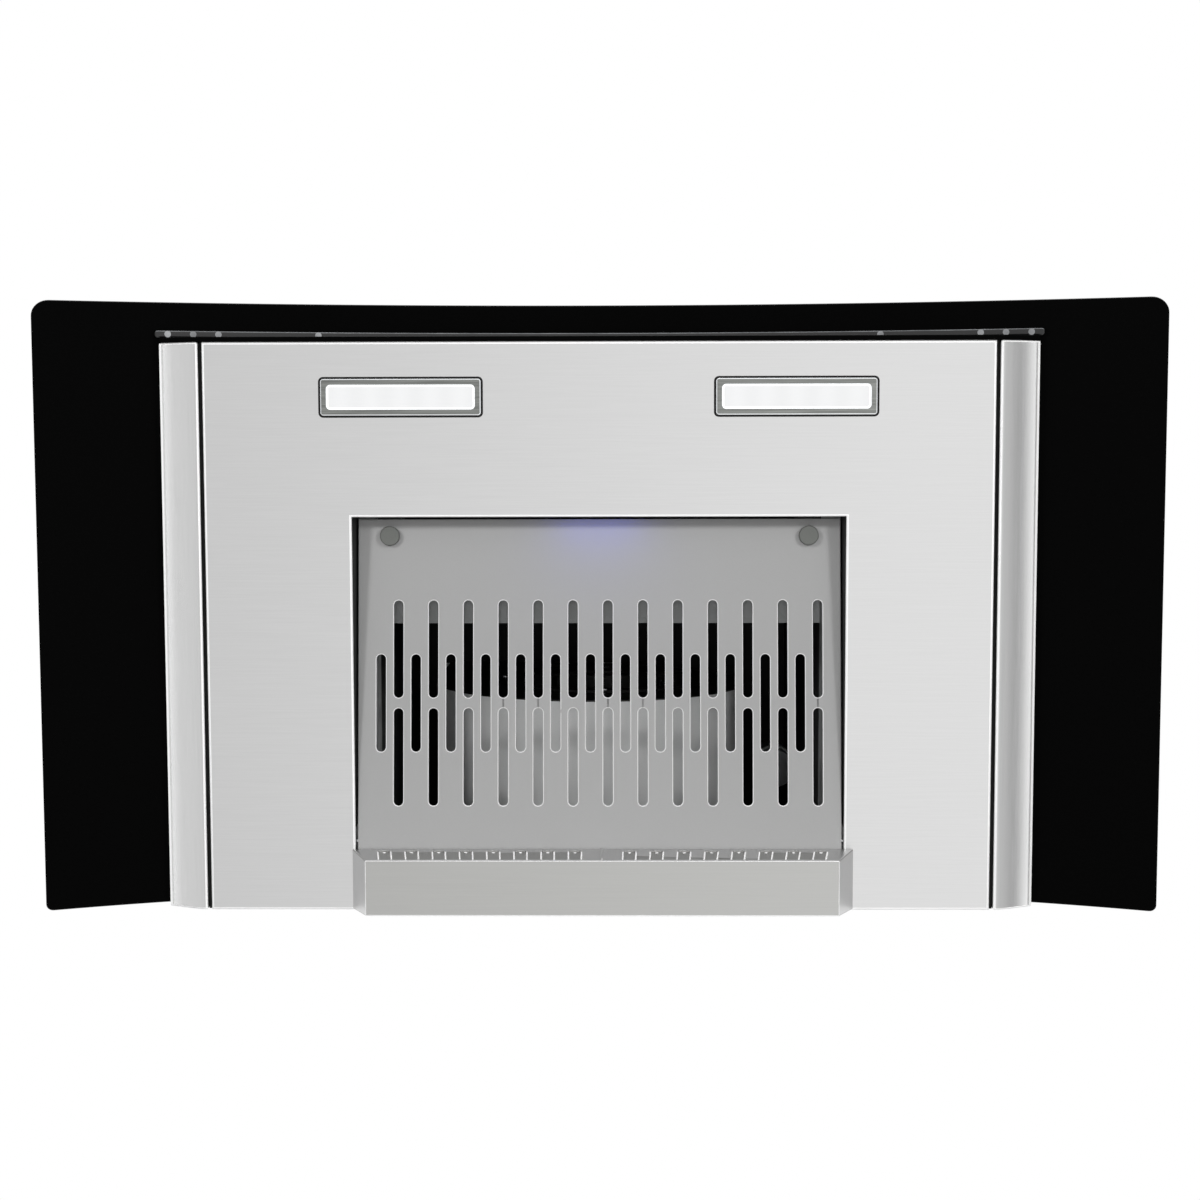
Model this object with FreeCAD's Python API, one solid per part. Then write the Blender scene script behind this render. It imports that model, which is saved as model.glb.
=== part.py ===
import FreeCAD, Part
import math
import os

# Wall-mounted chimney range hood with an arched glass canopy, seen best from below.
# The layout uses x to the right, y towards the wall and z up. The wall is the plane y = 0,
# and z = 0 is the underside of the bottom sheet. Each finished piece is then moved down by
# origin_height, so that the part's origin is the middle of its four wall fixing holes.

Vec = FreeCAD.Vector
ORIGIN = Vec(0, 0, 0)
ALONG_X = Vec(1, 0, 0)
ALONG_Y = Vec(0, 1, 0)
ALONG_Z = Vec(0, 0, 1)

# Sheet stock and general clearances
sheet_thick = 1.0
thin_sheet = 0.8
fit_gap = 0.3
pin_gap = 0.05
cut_over = 5.0

# Glass canopy: a plate bent about an axis that runs from front to back
glass_width = 900.0
glass_overhang = 33.3
glass_thick = 6.0
glass_radius = 1238.0
glass_front_corner = 13.0
glass_rear_corner = 5.5
glass_edge_round = 1.2
glass_wall_gap = 1.0
notch_gap = 2.5
notch_corner = 8.0

# Body under the glass
body_sheet_width = 634.2
front_strip = 140.2
groove_width = 3.0
trim_width = 33.6
trim_flat = 2.5
trim_height = 23.3
edge_height = 13.5
sheet_flange = 14.0
groove_strip_depth = 6.0
groove_strip_height = 6.0

# Suction opening in the bottom sheet
opening_width = 397.0
opening_front = 320.5
opening_rear = 12.0
opening_lip = 12.0

# Slotted suction panel, hinged at its rear edge and sloping down to the oil tray
panel_width = 394.0
panel_thick = 1.2
panel_slope_deg = 6.0
panel_front_gap = 2.0
panel_flange = 9.5
panel_rear_lip = 8.0
hinge_y = 56.0
hinge_z = 6.6
hinge_above_panel = 4.5
hinge_pin_radius = 2.0
hinge_head_radius = 3.5
hinge_head_thick = 1.5
slot_width = 7.6
slot_pitch = 14.25
slot_columns = 26
slot_bridge = 8.7
slot_front_margin = 66.35
slot_rear_margin = 28.85

# Thumb screws in the front corners of the panel, and the brackets that take them
thumb_x = 170.7
thumb_from_front = 13.7
thumb_radius = 7.9
thumb_head = 6.5
thumb_edge_round = 1.0
thumb_shank_radius = 2.0
thumb_shank_length = 13.0
thumb_collar_radius = 4.0
thumb_collar_thick = 0.8
bracket_width = 22.0
bracket_leg = 15.0
bracket_above_panel = 2.4
nut_insert_radius = 4.5
nut_insert_height = 7.0
nut_insert_gap = 0.7

# Suction chamber between the opening and the blower
chamber_width = 366.0
skirt_gap = 0.5
foot_flange = 12.0
shoulder_above_panel = 13.4
chamber_room = 4.6
chamber_wall_gap = 2.5

# Blower box, the steel housing that also carries the hood on the wall
box_depth = 231.0
box_height = 346.0
box_flange = 10.0
box_wall = 1.0
box_back_wall = 1.5
box_top_wall = 1.2
wall_hole_radius = 4.0
wall_hole_spacing_x = 250.0
wall_hole_spacing_z = 180.0
wall_hole_below_top = 28.0

# Blower with a spiral casing, its axis from front to back
blower_shift = 3.0
blower_bottom = 105.0
blower_front = 158.0
blower_rear = 30.0
casing_wall = 1.2
spiral_radius = 120.0
spiral_step = 15.0
tongue_radius = 12.0
mouth_flange = 11.0
inlet_radius = 82.0
inlet_ring_lip = 8.0
inlet_bend = 9.0

# Impeller and motor
impeller_radius = 98.0
impeller_length = 106.0
impeller_ring = 2.0
blade_depth = 15.0
blade_thick = 1.0
blade_count = 36
impeller_rear_gap = 8.0
hub_radius = 14.0
hub_length = 20.0
shaft_radius = 4.0
nut_radius = 8.0
nut_thick = 6.0
motor_radius = 50.0
motor_length = 68.0
motor_nose = 18.0
motor_shell = 2.0
bearing_radius = 11.0
bearing_length = 7.0
motor_rib_count = 12
motor_rib = 2.5
arm_count = 4
arm_width = 12.0
arm_thick = 2.0
arm_hub_radius = 30.0
arm_rise = 12.0
arm_ring_width = 9.0

# Outlet collar for a 150 mm duct, with two non-return flaps
duct_radius = 75.0
collar_wall = 2.0
collar_height = 56.0
collar_base = 168.0
collar_base_thick = 2.0
flap_pin_radius = 1.5
flap_pin_height = 22.0
flap_pin_offset = 5.0
flap_knuckle = 3.6
flap_thick = 1.0
flap_edge_gap = 1.4
flap_stop_width = 3.0
flap_stop_thick = 1.5

# Chimney covers
lower_cover_width = 380.0
lower_cover_depth = 239.0
lower_cover_top = 482.0
cover_gap = 0.3
cover_corner = 4.0
upper_cover_length = 384.0
upper_cover_show = 6.0
vent_length = 60.0
vent_width = 6.0
vent_pitch = 14.0
vent_rows = 5
vent_below_top = 40.0
clip_depth = 30.0
clip_height = 12.0
clip_rise = 8.0
clip_from_wall = 60.0
upper_bracket_height = 22.0
upper_bracket_ear = 22.0
upper_bracket_below_top = 8.0
upper_bracket_thick = 1.5
upper_hole_spacing = 300.0

# Oil tray across the rear of the opening
tray_top_width = 407.0
tray_bottom_width = 376.0
tray_height = 40.0
tray_front = 50.5
tray_rear = 1.0
tray_rear_slope = 4.0
tray_front_slope = 0.8
tray_wall = 1.2
tray_shift = 2.5
flute_count = 17
flute_pitch = 21.5
flute_width = 10.3
flute_depth = 0.8
flute_rim = 5.0
flute_foot = 5.0
seam_width = 2.2
seam_depth = 0.6
clip_strip_width = 30.0
clip_strip_drop = 14.0
clip_strip_x = 120.0
clip_strip_y = 5.0

# Lamps in the bottom sheet
lamp_x = 158.0
lamp_from_front = 44.3
lamp_width = 131.6
lamp_depth = 32.4
lamp_proud = 1.6
lamp_corner = 2.4
window_width = 119.9
window_depth = 20.8
window_corner = 3.2
lamp_neck = 7.0
lamp_neck_wall = 1.4
lamp_house_height = 20.0
lens_thick = 2.4
led_count = 5
led_size = 3.5
led_height = 1.2
led_board_thick = 1.6
led_board_rise = 10.0

# Front fascia with the touch controls
fascia_thick = 4.0
beam_thick = 1.2
glass_pad = 2.0
bead_depth = 6.4
bead_height = 7.0
bead_overhang = 4.3
bead_screw_radius = 2.6
bead_screw_height = 1.4
bead_screw_ends = 4.0
bead_screw_pitch = 19.5
bead_screw_row = 3
bead_screw_inner = 118.0
board_width = 190.0
board_height = 34.0
board_thick = 1.6
board_cover_depth = 17.0
board_foot = 10.0
touch_count = 5
touch_pitch = 32.0
touch_radius = 6.0
touch_spring = 3.0

# Glass supports
rail_x = 270.0
rail_width = 24.0
rail_end_gap = 22.0
glass_screw_from_front = 65.7
glass_screw_rear = 80.0
glass_screw_radius = 3.0
glass_screw_cap = 9.0
glass_screw_cap_height = 4.0
glass_hole_gap = 0.5

# Electric parts
indicator_width = 70.0
indicator_height = 6.0
indicator_depth = 12.0
indicator_foot = 2.5
power_width = 34.0
power_length = 150.0
power_height = 26.0
driver_width = 34.0
driver_length = 90.0
driver_height = 22.0
electric_front = 262.0
capacitor_radius = 17.5
capacitor_height = 62.0
capacitor_y = 70.0
capacitor_rise = 215.0
strap_width = 14.0
strap_thick = 1.0
gland_x = 120.0
gland_y = 70.0
gland_radius = 11.0
gland_height = 22.0
gland_bore = 4.0
gland_nut = 14.0
gland_nut_height = 5.0

# Small pan-head screws, and the sides of a hexagon nut
screw_radius = 2.0
screw_head_radius = 4.0
screw_head_height = 2.0
hexagon_sides = 6

# Wires from the LED driver to the lamps
wire_radius = 2.2
wire_bend = 7.0
wire_step = 14.0

# Shares of the sizes that they are multiplied by in the functions
edge_reach_share = 0.35
edge_rise_share = 0.22
edge_end_share = 0.3
edge_drop_share = 0.38
blade_sweep_share = 0.55
box_screw_shares = (0.2, 0.8)
mouth_rear_shares = (0.15, 0.85)
mouth_side_shares = (0.3, 0.7)
cover_screw_shares = (0.25, 0.75)

# Places worked out from the sizes above
sheet_half = body_sheet_width / 2
trim_inner = sheet_half + groove_width
body_half = trim_inner + trim_width
glass_axis_z = trim_height - math.sqrt(glass_radius ** 2 - body_half ** 2)
body_depth = opening_front + front_strip
glass_depth = body_depth + glass_overhang
glass_screw_front = body_depth - glass_screw_from_front
lamp_y = body_depth - lamp_from_front
opening_half = opening_width / 2
lip_outer = opening_half + sheet_thick
skirt_inner = lip_outer + skirt_gap
skirt_outer = skirt_inner + sheet_thick
skirt_front_inner = opening_front + sheet_thick + skirt_gap
skirt_front = skirt_front_inner + sheet_thick
chamber_half = chamber_width / 2
box_half = chamber_half + box_wall
notch_half = box_half + notch_gap


def glass_under(x):
    """Height of the glass underside above the bottom sheet at a distance x from the middle."""
    return glass_axis_z + math.sqrt(glass_radius ** 2 - x ** 2)


ceiling_top = glass_under(box_half + box_flange) - chamber_room
box_bottom = ceiling_top
box_top = box_bottom + box_height
origin_height = box_top - wall_hole_below_top - wall_hole_spacing_z / 2
chamber_rear = chamber_wall_gap
back_plate_front = chamber_wall_gap
back_plate_rear = sheet_thick
panel_half = panel_width / 2
panel_length = opening_front - hinge_y - panel_front_gap
thumb_from_hinge = panel_length - thumb_from_front
slot_length = (panel_length - slot_front_margin - slot_rear_margin - slot_bridge) / 2
slot_centre = slot_rear_margin + slot_length + slot_bridge / 2
panel_under = -hinge_above_panel
panel_top = panel_under + panel_thick
shoulder_level = panel_top + shoulder_above_panel
blower_x = blower_shift
blower_z = blower_bottom + casing_wall + spiral_radius + spiral_step * 3 / 2
mouth_left = blower_x - spiral_radius - spiral_step * 5 / 2
mouth_right = blower_x + spiral_step / 2 - tongue_radius
mouth_x = (mouth_left + mouth_right) / 2
mouth_y = -(blower_front + blower_rear) / 2
collar_foot = box_top + box_top_wall
impeller_back = -(blower_rear + casing_wall + impeller_rear_gap)
impeller_front = impeller_back - impeller_length
arm_plane = -(blower_front + arm_rise)
motor_front = arm_plane + arm_thick
motor_back = motor_front + motor_length
lower_cover_half = lower_cover_width / 2
upper_cover_half = lower_cover_half - thin_sheet - cover_gap
upper_cover_depth = lower_cover_depth - thin_sheet - cover_gap
upper_cover_top = lower_cover_top + upper_cover_show


def box(x0, x1, y0, y1, z0, z1):
    """A block between two corners, given in any order."""
    low = Vec(min(x0, x1), min(y0, y1), min(z0, z1))
    return Part.makeBox(abs(x1 - x0), abs(y1 - y0), abs(z1 - z0), low)


def rod(radius, length, base, direction):
    """A round bar from base along direction."""
    return Part.makeCylinder(radius, length, base, direction)


def face_of(edges):
    """The flat face inside a closed run of edges."""
    return Part.Face(Part.Wire(edges))


def run(points):
    """Straight edges through a list of points."""
    return [Part.LineSegment(a, b).toShape() for a, b in zip(points, points[1:])]


def upright_edges(shape):
    """The edges of a block that stand upright."""
    return [e for e in shape.Edges if e.tangentAt(e.FirstParameter).cross(ALONG_Z).Length < pin_gap]


def hexagon(corner_radius, base, across, along, height):
    """A hexagon block on base, with its corners in the plane of two directions."""
    corners = []
    for k in range(hexagon_sides + 1):
        angle = math.radians(360.0 / hexagon_sides * k)
        corners.append(base + across * (corner_radius * math.cos(angle))
                       + along * (corner_radius * math.sin(angle)))
    return face_of(run(corners)).extrude(height)


def rounded_block(width, depth, z0, z1, corner, x=0.0, y=0.0):
    """A block centred at x, y, with its four upright edges rounded."""
    block = box(x - width / 2, x + width / 2, y - depth / 2, y + depth / 2, z0, z1)
    return block.makeFillet(min(corner, width / 2, depth / 2), upright_edges(block))


def mirrored(shape):
    """The same shape on the other side of the middle plane."""
    return shape.mirror(ORIGIN, ALONG_X)


def under_glass(shape, gap):
    """What is left of a shape below the glass, with a gap to its underside."""
    reach = glass_depth * 2
    return shape.common(rod(glass_radius - gap, reach, Vec(0, -reach, glass_axis_z), ALONG_Y))


def over_glass(shape, gap):
    """What is left of a shape above the glass, with a gap to its top face."""
    reach = glass_depth * 2
    top = glass_radius + glass_thick + gap
    return shape.cut(rod(top, reach, Vec(0, -reach, glass_axis_z), ALONG_Y))


def on_glass(shape, x):
    """Swings a shape that stands at the top of the arch round to a distance x from the middle."""
    turned = shape.copy()
    turned.rotate(Vec(0, 0, glass_axis_z), ALONG_Y, math.degrees(math.asin(x / glass_radius)))
    return turned


def inclined(shape):
    """Tilts a shape that is drawn level, with the panel's hinge at y = 0 and z = 0, to its place."""
    turned = shape.copy()
    turned.rotate(ORIGIN, ALONG_X, -panel_slope_deg)
    turned.translate(Vec(0, -hinge_y, hinge_z))
    return turned


def screw(place, direction, length):
    """A small pan-head screw whose head rests on a face at place, with its shank going on."""
    head = rod(screw_head_radius, screw_head_height, place, direction * -1)
    rim = [e for e in head.Edges if e.Length > screw_head_radius * 2
           and (e.CenterOfMass - place).Length > screw_head_height / 2]
    head = head.makeFillet(screw_head_height / 2, rim)
    return head.fuse(rod(screw_radius, length, place, direction))


def drilled(shape, screws):
    """A shape with a hole for each screw of a list of (place, direction, length)."""
    holes = []
    for place, direction, length in screws:
        holes.append(rod(screw_radius + pin_gap, length + 2 * cut_over,
                         place - direction * cut_over, direction))
    return shape.cut(holes)


def node(name, *solids):
    """Writes one piece, or a group of like pieces, moved into the part's own frame."""
    shape = solids[0] if len(solids) == 1 else Part.makeCompound(list(solids))
    placed = shape.copy()
    placed.translate(Vec(0, 0, -origin_height))
    placed.exportStep("parts/" + name + ".step")


def body_edge(side, grow):
    """One rounded lower side of the body's section, from the bottom to its upright side."""
    start = Vec(side * (trim_inner + trim_flat), 0, -grow)
    end = Vec(side * (body_half + grow), 0, edge_height)
    across = Vec(end.x - start.x, 0, 0)
    up = Vec(0, 0, end.z - start.z)
    curve = Part.BezierCurve()
    curve.setPoles([start, start + across * edge_reach_share + up * edge_rise_share,
                    end - across * edge_end_share - up * edge_drop_share, end])
    return start, curve.toShape(), end


def body_section(grow, top):
    """The body's section seen from the front, up to a height above the glass."""
    left_start, left_curve, left_end = body_edge(-1, grow)
    right_start, right_curve, right_end = body_edge(1, grow)
    roof = run([right_end, Vec(right_end.x, 0, top), Vec(left_end.x, 0, top), left_end])
    return face_of(run([left_start, right_start]) + [right_curve] + roof + [left_curve])


def glass_canopy():
    """The arched plate, with rounded corners, a notch for the blower box and four screw holes."""
    low = glass_under(glass_width / 2) - glass_thick - cut_over
    high = glass_under(0) + glass_thick + cut_over
    depth = glass_depth - glass_wall_gap
    plan = box(-glass_width / 2, glass_width / 2, -glass_depth, -glass_wall_gap, low, high)
    notch_depth = box_depth + notch_gap
    plan = plan.cut(rounded_block(2 * notch_half, 2 * notch_depth, low, high, notch_corner))
    middle_y = -(glass_depth + glass_wall_gap) / 2
    front = [e for e in upright_edges(plan) if e.CenterOfMass.y < middle_y]
    plan = plan.makeFillet(glass_front_corner, front)
    rear = [e for e in upright_edges(plan) if e.CenterOfMass.y > -depth / 4]
    plan = plan.makeFillet(glass_rear_corner, rear)
    outer = rod(glass_radius + glass_thick, glass_depth, Vec(0, -glass_depth, glass_axis_z), ALONG_Y)
    inner = rod(glass_radius, glass_depth, Vec(0, -glass_depth, glass_axis_z), ALONG_Y)
    plate = plan.common(outer.cut(inner))
    rim = [e for e in plate.Edges if e.Length > glass_thick * 2]
    plate = plate.makeFillet(min(glass_edge_round, glass_thick / 3), rim)
    hole_radius = glass_screw_radius + glass_hole_gap
    for x in (-rail_x, rail_x):
        for y in (-glass_screw_front, -glass_screw_rear):
            foot = Vec(0, y, glass_under(0) - cut_over)
            hole = rod(hole_radius, glass_thick + 2 * cut_over, foot, ALONG_Z)
            plate = plate.cut(on_glass(hole, x))
    return plate


def lamp_sides():
    """The names and x places of the two lamps."""
    return (("left", -lamp_x), ("right", lamp_x))


def bottom_sheet():
    """The brushed sheet with folded flanges, the suction opening and the lamp cut-outs."""
    outer = box(-sheet_half, sheet_half, -body_depth, 0, 0, sheet_flange)
    inner_half = sheet_half - sheet_thick
    inner = box(-inner_half, inner_half, -body_depth + sheet_thick, -sheet_thick,
                sheet_thick, sheet_flange + cut_over)
    tray = outer.cut(inner)
    lip = box(-lip_outer, lip_outer, -opening_front - sheet_thick, -hinge_y - opening_lip,
              0, opening_lip)
    tray = tray.fuse(lip)
    tray = tray.cut(box(-opening_half, opening_half, -opening_front, -opening_rear,
                        -cut_over, opening_lip + cut_over))
    window_half = indicator_width / 2 + fit_gap
    tray = tray.cut(box(-window_half, window_half, -opening_front - sheet_thick - fit_gap,
                        -opening_front + fit_gap, indicator_foot - fit_gap,
                        indicator_foot + indicator_height + fit_gap))
    for _, x in lamp_sides():
        neck_width = window_width + 2 * lamp_neck_wall + 2 * fit_gap
        neck_depth = window_depth + 2 * lamp_neck_wall + 2 * fit_gap
        tray = tray.cut(rounded_block(neck_width, neck_depth, -cut_over, cut_over,
                                      window_corner + lamp_neck_wall, x, -lamp_y))
    return tray


def side_trim():
    """The right-hand curved trim: a folded strip with closed ends, under the glass."""
    high = trim_height + trim_width

    def section(wall):
        start = Vec(trim_inner + wall, 0, high + wall)
        foot = Vec(trim_inner + wall, 0, wall)
        bend_start, curve, bend_end = body_edge(1, -wall)
        top = Vec(bend_end.x, 0, high + wall)
        return face_of(run([start, foot, bend_start]) + [curve] + run([bend_end, top, start]))

    outer = section(0.0).extrude(Vec(0, -body_depth, 0))
    inner = section(sheet_thick).extrude(Vec(0, -body_depth + 2 * sheet_thick, 0))
    inner.translate(Vec(0, -sheet_thick, 0))
    return under_glass(outer.cut(inner), fit_gap)


def groove_strips():
    """The black strips that close the two grooves, set back from the sheet's face."""
    low = groove_strip_depth
    high = groove_strip_depth + groove_strip_height
    right = box(sheet_half, trim_inner, -body_depth, 0, low, high)
    return [right, mirrored(right)]


def back_plate():
    """The canopy's rear wall, between the sheet's flanges and the glass."""
    half = sheet_half - sheet_thick
    plate = box(-half, half, -back_plate_front, -back_plate_rear, sheet_thick,
                glass_under(0) + cut_over)
    plate = under_glass(plate, fit_gap)
    slot_half = box_half + box_flange + fit_gap
    return plate.cut(box(-slot_half, slot_half, -back_plate_front - cut_over, 0,
                         ceiling_top - sheet_thick, glass_under(0) + cut_over))


def beam_window():
    """The hole in the front beam behind the touch controls."""
    half = board_width / 2 - board_foot
    return box(-half, half, -body_depth, -body_depth + 2 * beam_thick + sheet_thick,
               sheet_flange + fit_gap, sheet_flange + board_height)


def front_beam():
    """The canopy's front wall, which carries the fascia and the control board."""
    half = sheet_half - sheet_thick
    rear = -body_depth + sheet_thick + beam_thick
    plate = box(-half, half, -body_depth + sheet_thick, rear, sheet_thick,
                glass_under(0) + cut_over)
    return under_glass(plate, fit_gap).cut(beam_window())


def front_fascia():
    """The black touch panel in front of the body, arched at its top like the glass."""
    face = body_section(0.0, glass_under(0) + cut_over)
    plate = face.extrude(Vec(0, -fascia_thick, 0))
    plate.translate(Vec(0, -body_depth, 0))
    return under_glass(plate, fit_gap)


def bead_reach():
    """Half the length of the bead, which runs a little past the body on both sides."""
    return body_half + bead_overhang


def bead_front():
    """The y place of the bead's front face."""
    return -body_depth - fascia_thick - bead_depth


def fascia_bead():
    """The black moulding that runs along the glass in front of the fascia."""
    low = glass_under(bead_reach()) - 2 * bead_height
    block = box(-bead_reach(), bead_reach(), bead_front(), bead_front() + bead_depth,
                low, glass_under(0) + cut_over)
    strip = under_glass(block, fit_gap)
    return strip.cut(under_glass(block, bead_height))


def bead_screws():
    """Small pan-head screws in the bead's underside, grouped at its ends."""
    first = body_half - bead_screw_ends
    places = [first - bead_screw_pitch * k for k in range(bead_screw_row)]
    places.append(first - bead_screw_inner)
    heads = []
    for x in places:
        top = Vec(0, bead_front() + bead_depth / 2, glass_under(0) - bead_height)
        head = rod(bead_screw_radius, bead_screw_height, top, ALONG_Z * -1)
        heads.append(on_glass(head, x))
        heads.append(on_glass(head, -x))
    return heads


def glass_rail():
    """The right-hand channel that carries the glass between the front beam and the back plate."""
    front = -body_depth + rail_end_gap
    high = glass_under(0)
    outer = box(rail_x - rail_width / 2, rail_x + rail_width / 2, front, -rail_end_gap,
                sheet_thick, high)
    half = rail_width / 2 - sheet_thick
    inner = box(rail_x - half, rail_x + half, front - cut_over, -rail_end_gap + cut_over,
                sheet_thick, high)
    rail = under_glass(outer, glass_pad).cut(under_glass(inner, glass_pad + sheet_thick))
    for y in (-glass_screw_front, -glass_screw_rear):
        foot = Vec(0, y, glass_under(0) - glass_pad - 2 * cut_over)
        rail = rail.cut(on_glass(rod(glass_screw_radius + pin_gap, 2 * cut_over + glass_pad,
                                     foot, ALONG_Z), rail_x))
    return rail


def glass_pads():
    """Rubber strips between the rails and the glass."""
    front = -body_depth + rail_end_gap
    block = box(rail_x - rail_width / 2, rail_x + rail_width / 2, front, -rail_end_gap,
                sheet_thick, glass_under(0))
    pad = under_glass(block, 0.0).cut(under_glass(block, glass_pad))
    for y in (-glass_screw_front, -glass_screw_rear):
        foot = Vec(0, y, glass_under(0) - 2 * glass_pad)
        pad = pad.cut(on_glass(rod(glass_screw_radius + pin_gap, 3 * glass_pad, foot, ALONG_Z),
                               rail_x))
    return [pad, mirrored(pad)]


def glass_screws():
    """Four capped screws that hold the glass down on its rails."""
    screws = []
    top = glass_under(0) + glass_thick
    for y in (-glass_screw_front, -glass_screw_rear):
        cap = rod(glass_screw_cap, glass_screw_cap_height, Vec(0, y, top), ALONG_Z)
        rim = [e for e in cap.Edges if e.CenterOfMass.z > top + glass_screw_cap_height / 2
               and e.Length > glass_screw_cap_height]
        cap = cap.makeFillet(glass_screw_cap_height / 2, rim)
        length = glass_thick + glass_pad + sheet_thick + glass_screw_radius
        shank = rod(glass_screw_radius, length, Vec(0, y, top - length), ALONG_Z)
        for x in (-rail_x, rail_x):
            screws.append(on_glass(cap.fuse(shank), x))
    return screws


def below_shoulder(level):
    """All the space below a plane that lies parallel to the panel, level above its hinge."""
    half = glass_width / 2
    return inclined(box(-half, half, -glass_depth, glass_depth, level - glass_width, level))


def indicator_window(depth_front, depth_rear):
    """Room for the indicator light where it passes through a wall."""
    half = indicator_width / 2 + fit_gap
    return box(-half, half, -depth_front, -depth_rear, indicator_foot - fit_gap,
               indicator_foot + indicator_height + fit_gap)


def suction_chamber():
    """The folded air chamber between the opening and the blower box."""
    low = sheet_thick
    roof = ceiling_top
    skirt = box(-skirt_outer, skirt_outer, -skirt_front, -chamber_rear, low, roof)
    skirt = skirt.common(below_shoulder(shoulder_level + sheet_thick))
    upper = box(-box_half, box_half, -skirt_front, -chamber_rear, low, roof)
    rear_inner = -chamber_rear - sheet_thick
    skirt_room = box(-skirt_inner, skirt_inner, -skirt_front_inner, rear_inner, -cut_over, roof)
    skirt_room = skirt_room.common(below_shoulder(shoulder_level))
    upper_room = box(-chamber_half, chamber_half, -skirt_front_inner, rear_inner,
                     low, roof - sheet_thick)
    foot = box(-skirt_outer - foot_flange, skirt_outer + foot_flange,
               -skirt_front - foot_flange, -chamber_rear, low, low + sheet_thick)
    foot = foot.cut(box(-skirt_inner, skirt_inner, -skirt_front_inner, 0, -cut_over, roof))
    chamber = skirt.fuse([upper, foot]).cut([skirt_room, upper_room])
    blower_hole = box(-chamber_half, chamber_half, -box_depth + box_wall, rear_inner,
                      roof - 2 * sheet_thick, roof + cut_over)
    chamber = chamber.cut(blower_hole)
    chamber = chamber.cut(indicator_window(skirt_front + fit_gap, skirt_front_inner - fit_gap))
    pin = rod(hinge_pin_radius + pin_gap, 4 * skirt_outer, Vec(-2 * skirt_outer, -hinge_y, hinge_z),
              ALONG_X)
    return drilled(chamber.cut(pin), box_screws())


def panel_brackets():
    """Two angle brackets on the chamber's front wall, each with a nut insert."""
    brackets = []
    low = panel_top + bracket_above_panel
    reach = (skirt_front - hinge_y) / math.cos(math.radians(panel_slope_deg))
    back = thumb_from_hinge - bracket_leg
    wall = box(-glass_width, glass_width, -glass_depth, -skirt_front_inner, 0, box_top)
    for x in (-thumb_x, thumb_x):
        left = x - bracket_width / 2
        right = x + bracket_width / 2
        leg = box(left, right, -reach, -back, low, low + sheet_thick)
        place = Vec(x, -thumb_from_hinge, low + sheet_thick)
        insert = rod(nut_insert_radius, nut_insert_height, place, ALONG_Z)
        hole = rod(thumb_shank_radius + nut_insert_gap, 4 * nut_insert_height,
                   place - Vec(0, 0, 2 * nut_insert_height), ALONG_Z)
        upright = box(left, right, -skirt_front_inner, -skirt_front_inner + sheet_thick,
                      hinge_z, ceiling_top - sheet_thick)
        bracket = inclined(leg.fuse(insert)).fuse(upright)
        brackets.append(bracket.cut([inclined(hole), wall, below_shoulder(low)]))
    return brackets


def slot_places():
    """Centre of each slot: single slots in the even columns, pairs in the odd ones."""
    first = -slot_pitch * (slot_columns - 1) / 2
    half_step = (slot_length + slot_bridge) / 2
    for column in range(slot_columns):
        x = first + slot_pitch * column
        rows = (0.0,) if column % 2 == 0 else (-half_step, half_step)
        for row in rows:
            yield x, -slot_centre + row


def slotted_panel():
    """The hinged panel with side flanges, its slots and the two thumb screw holes."""
    plate = box(-panel_half, panel_half, -panel_length, panel_rear_lip, panel_under, panel_top)
    side = box(panel_half - panel_thick, panel_half, -panel_length, panel_rear_lip,
               panel_under, panel_under + panel_flange)
    plate = plate.fuse([side, mirrored(side)])
    slots = [rounded_block(slot_width, slot_length, panel_under - cut_over, panel_top + cut_over,
                           slot_width / 2 - pin_gap / 2, x, y) for x, y in slot_places()]
    plate = plate.cut(Part.makeCompound(slots))
    for x in (-thumb_x, thumb_x):
        plate = plate.cut(rod(thumb_shank_radius + pin_gap, 2 * cut_over,
                              Vec(x, -thumb_from_hinge, panel_under - cut_over), ALONG_Z))
    plate = plate.cut(rod(hinge_pin_radius + pin_gap, 2 * panel_width,
                          Vec(-panel_width, 0, 0), ALONG_X))
    return inclined(plate)


def hinge_pins():
    """Two headed pins through the chamber's skirt into the panel's flanges."""
    inner = panel_half - panel_thick - hinge_pin_radius
    base = Vec(inner, -hinge_y, hinge_z)
    pin = rod(hinge_pin_radius, skirt_outer - inner, base, ALONG_X)
    head = rod(hinge_head_radius, hinge_head_thick, Vec(skirt_outer, -hinge_y, hinge_z), ALONG_X)
    right = pin.fuse(head)
    return [right, mirrored(right)]


def thumb_screw(x):
    """A round-headed thumb screw, kept on the panel by a small collar."""
    under = panel_under - fit_gap
    head = rod(thumb_radius, thumb_head, Vec(x, -thumb_from_hinge, under - thumb_head), ALONG_Z)
    rims = [e for e in head.Edges if e.Length > thumb_head * 2 and
            e.CenterOfMass.z < under - thumb_head / 2]
    head = head.makeFillet(thumb_edge_round, rims)
    shank = rod(thumb_shank_radius, thumb_shank_length, Vec(x, -thumb_from_hinge, under), ALONG_Z)
    collar = rod(thumb_collar_radius, thumb_collar_thick,
                 Vec(x, -thumb_from_hinge, panel_top + fit_gap), ALONG_Z)
    return inclined(head.fuse([shank, collar]))


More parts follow.
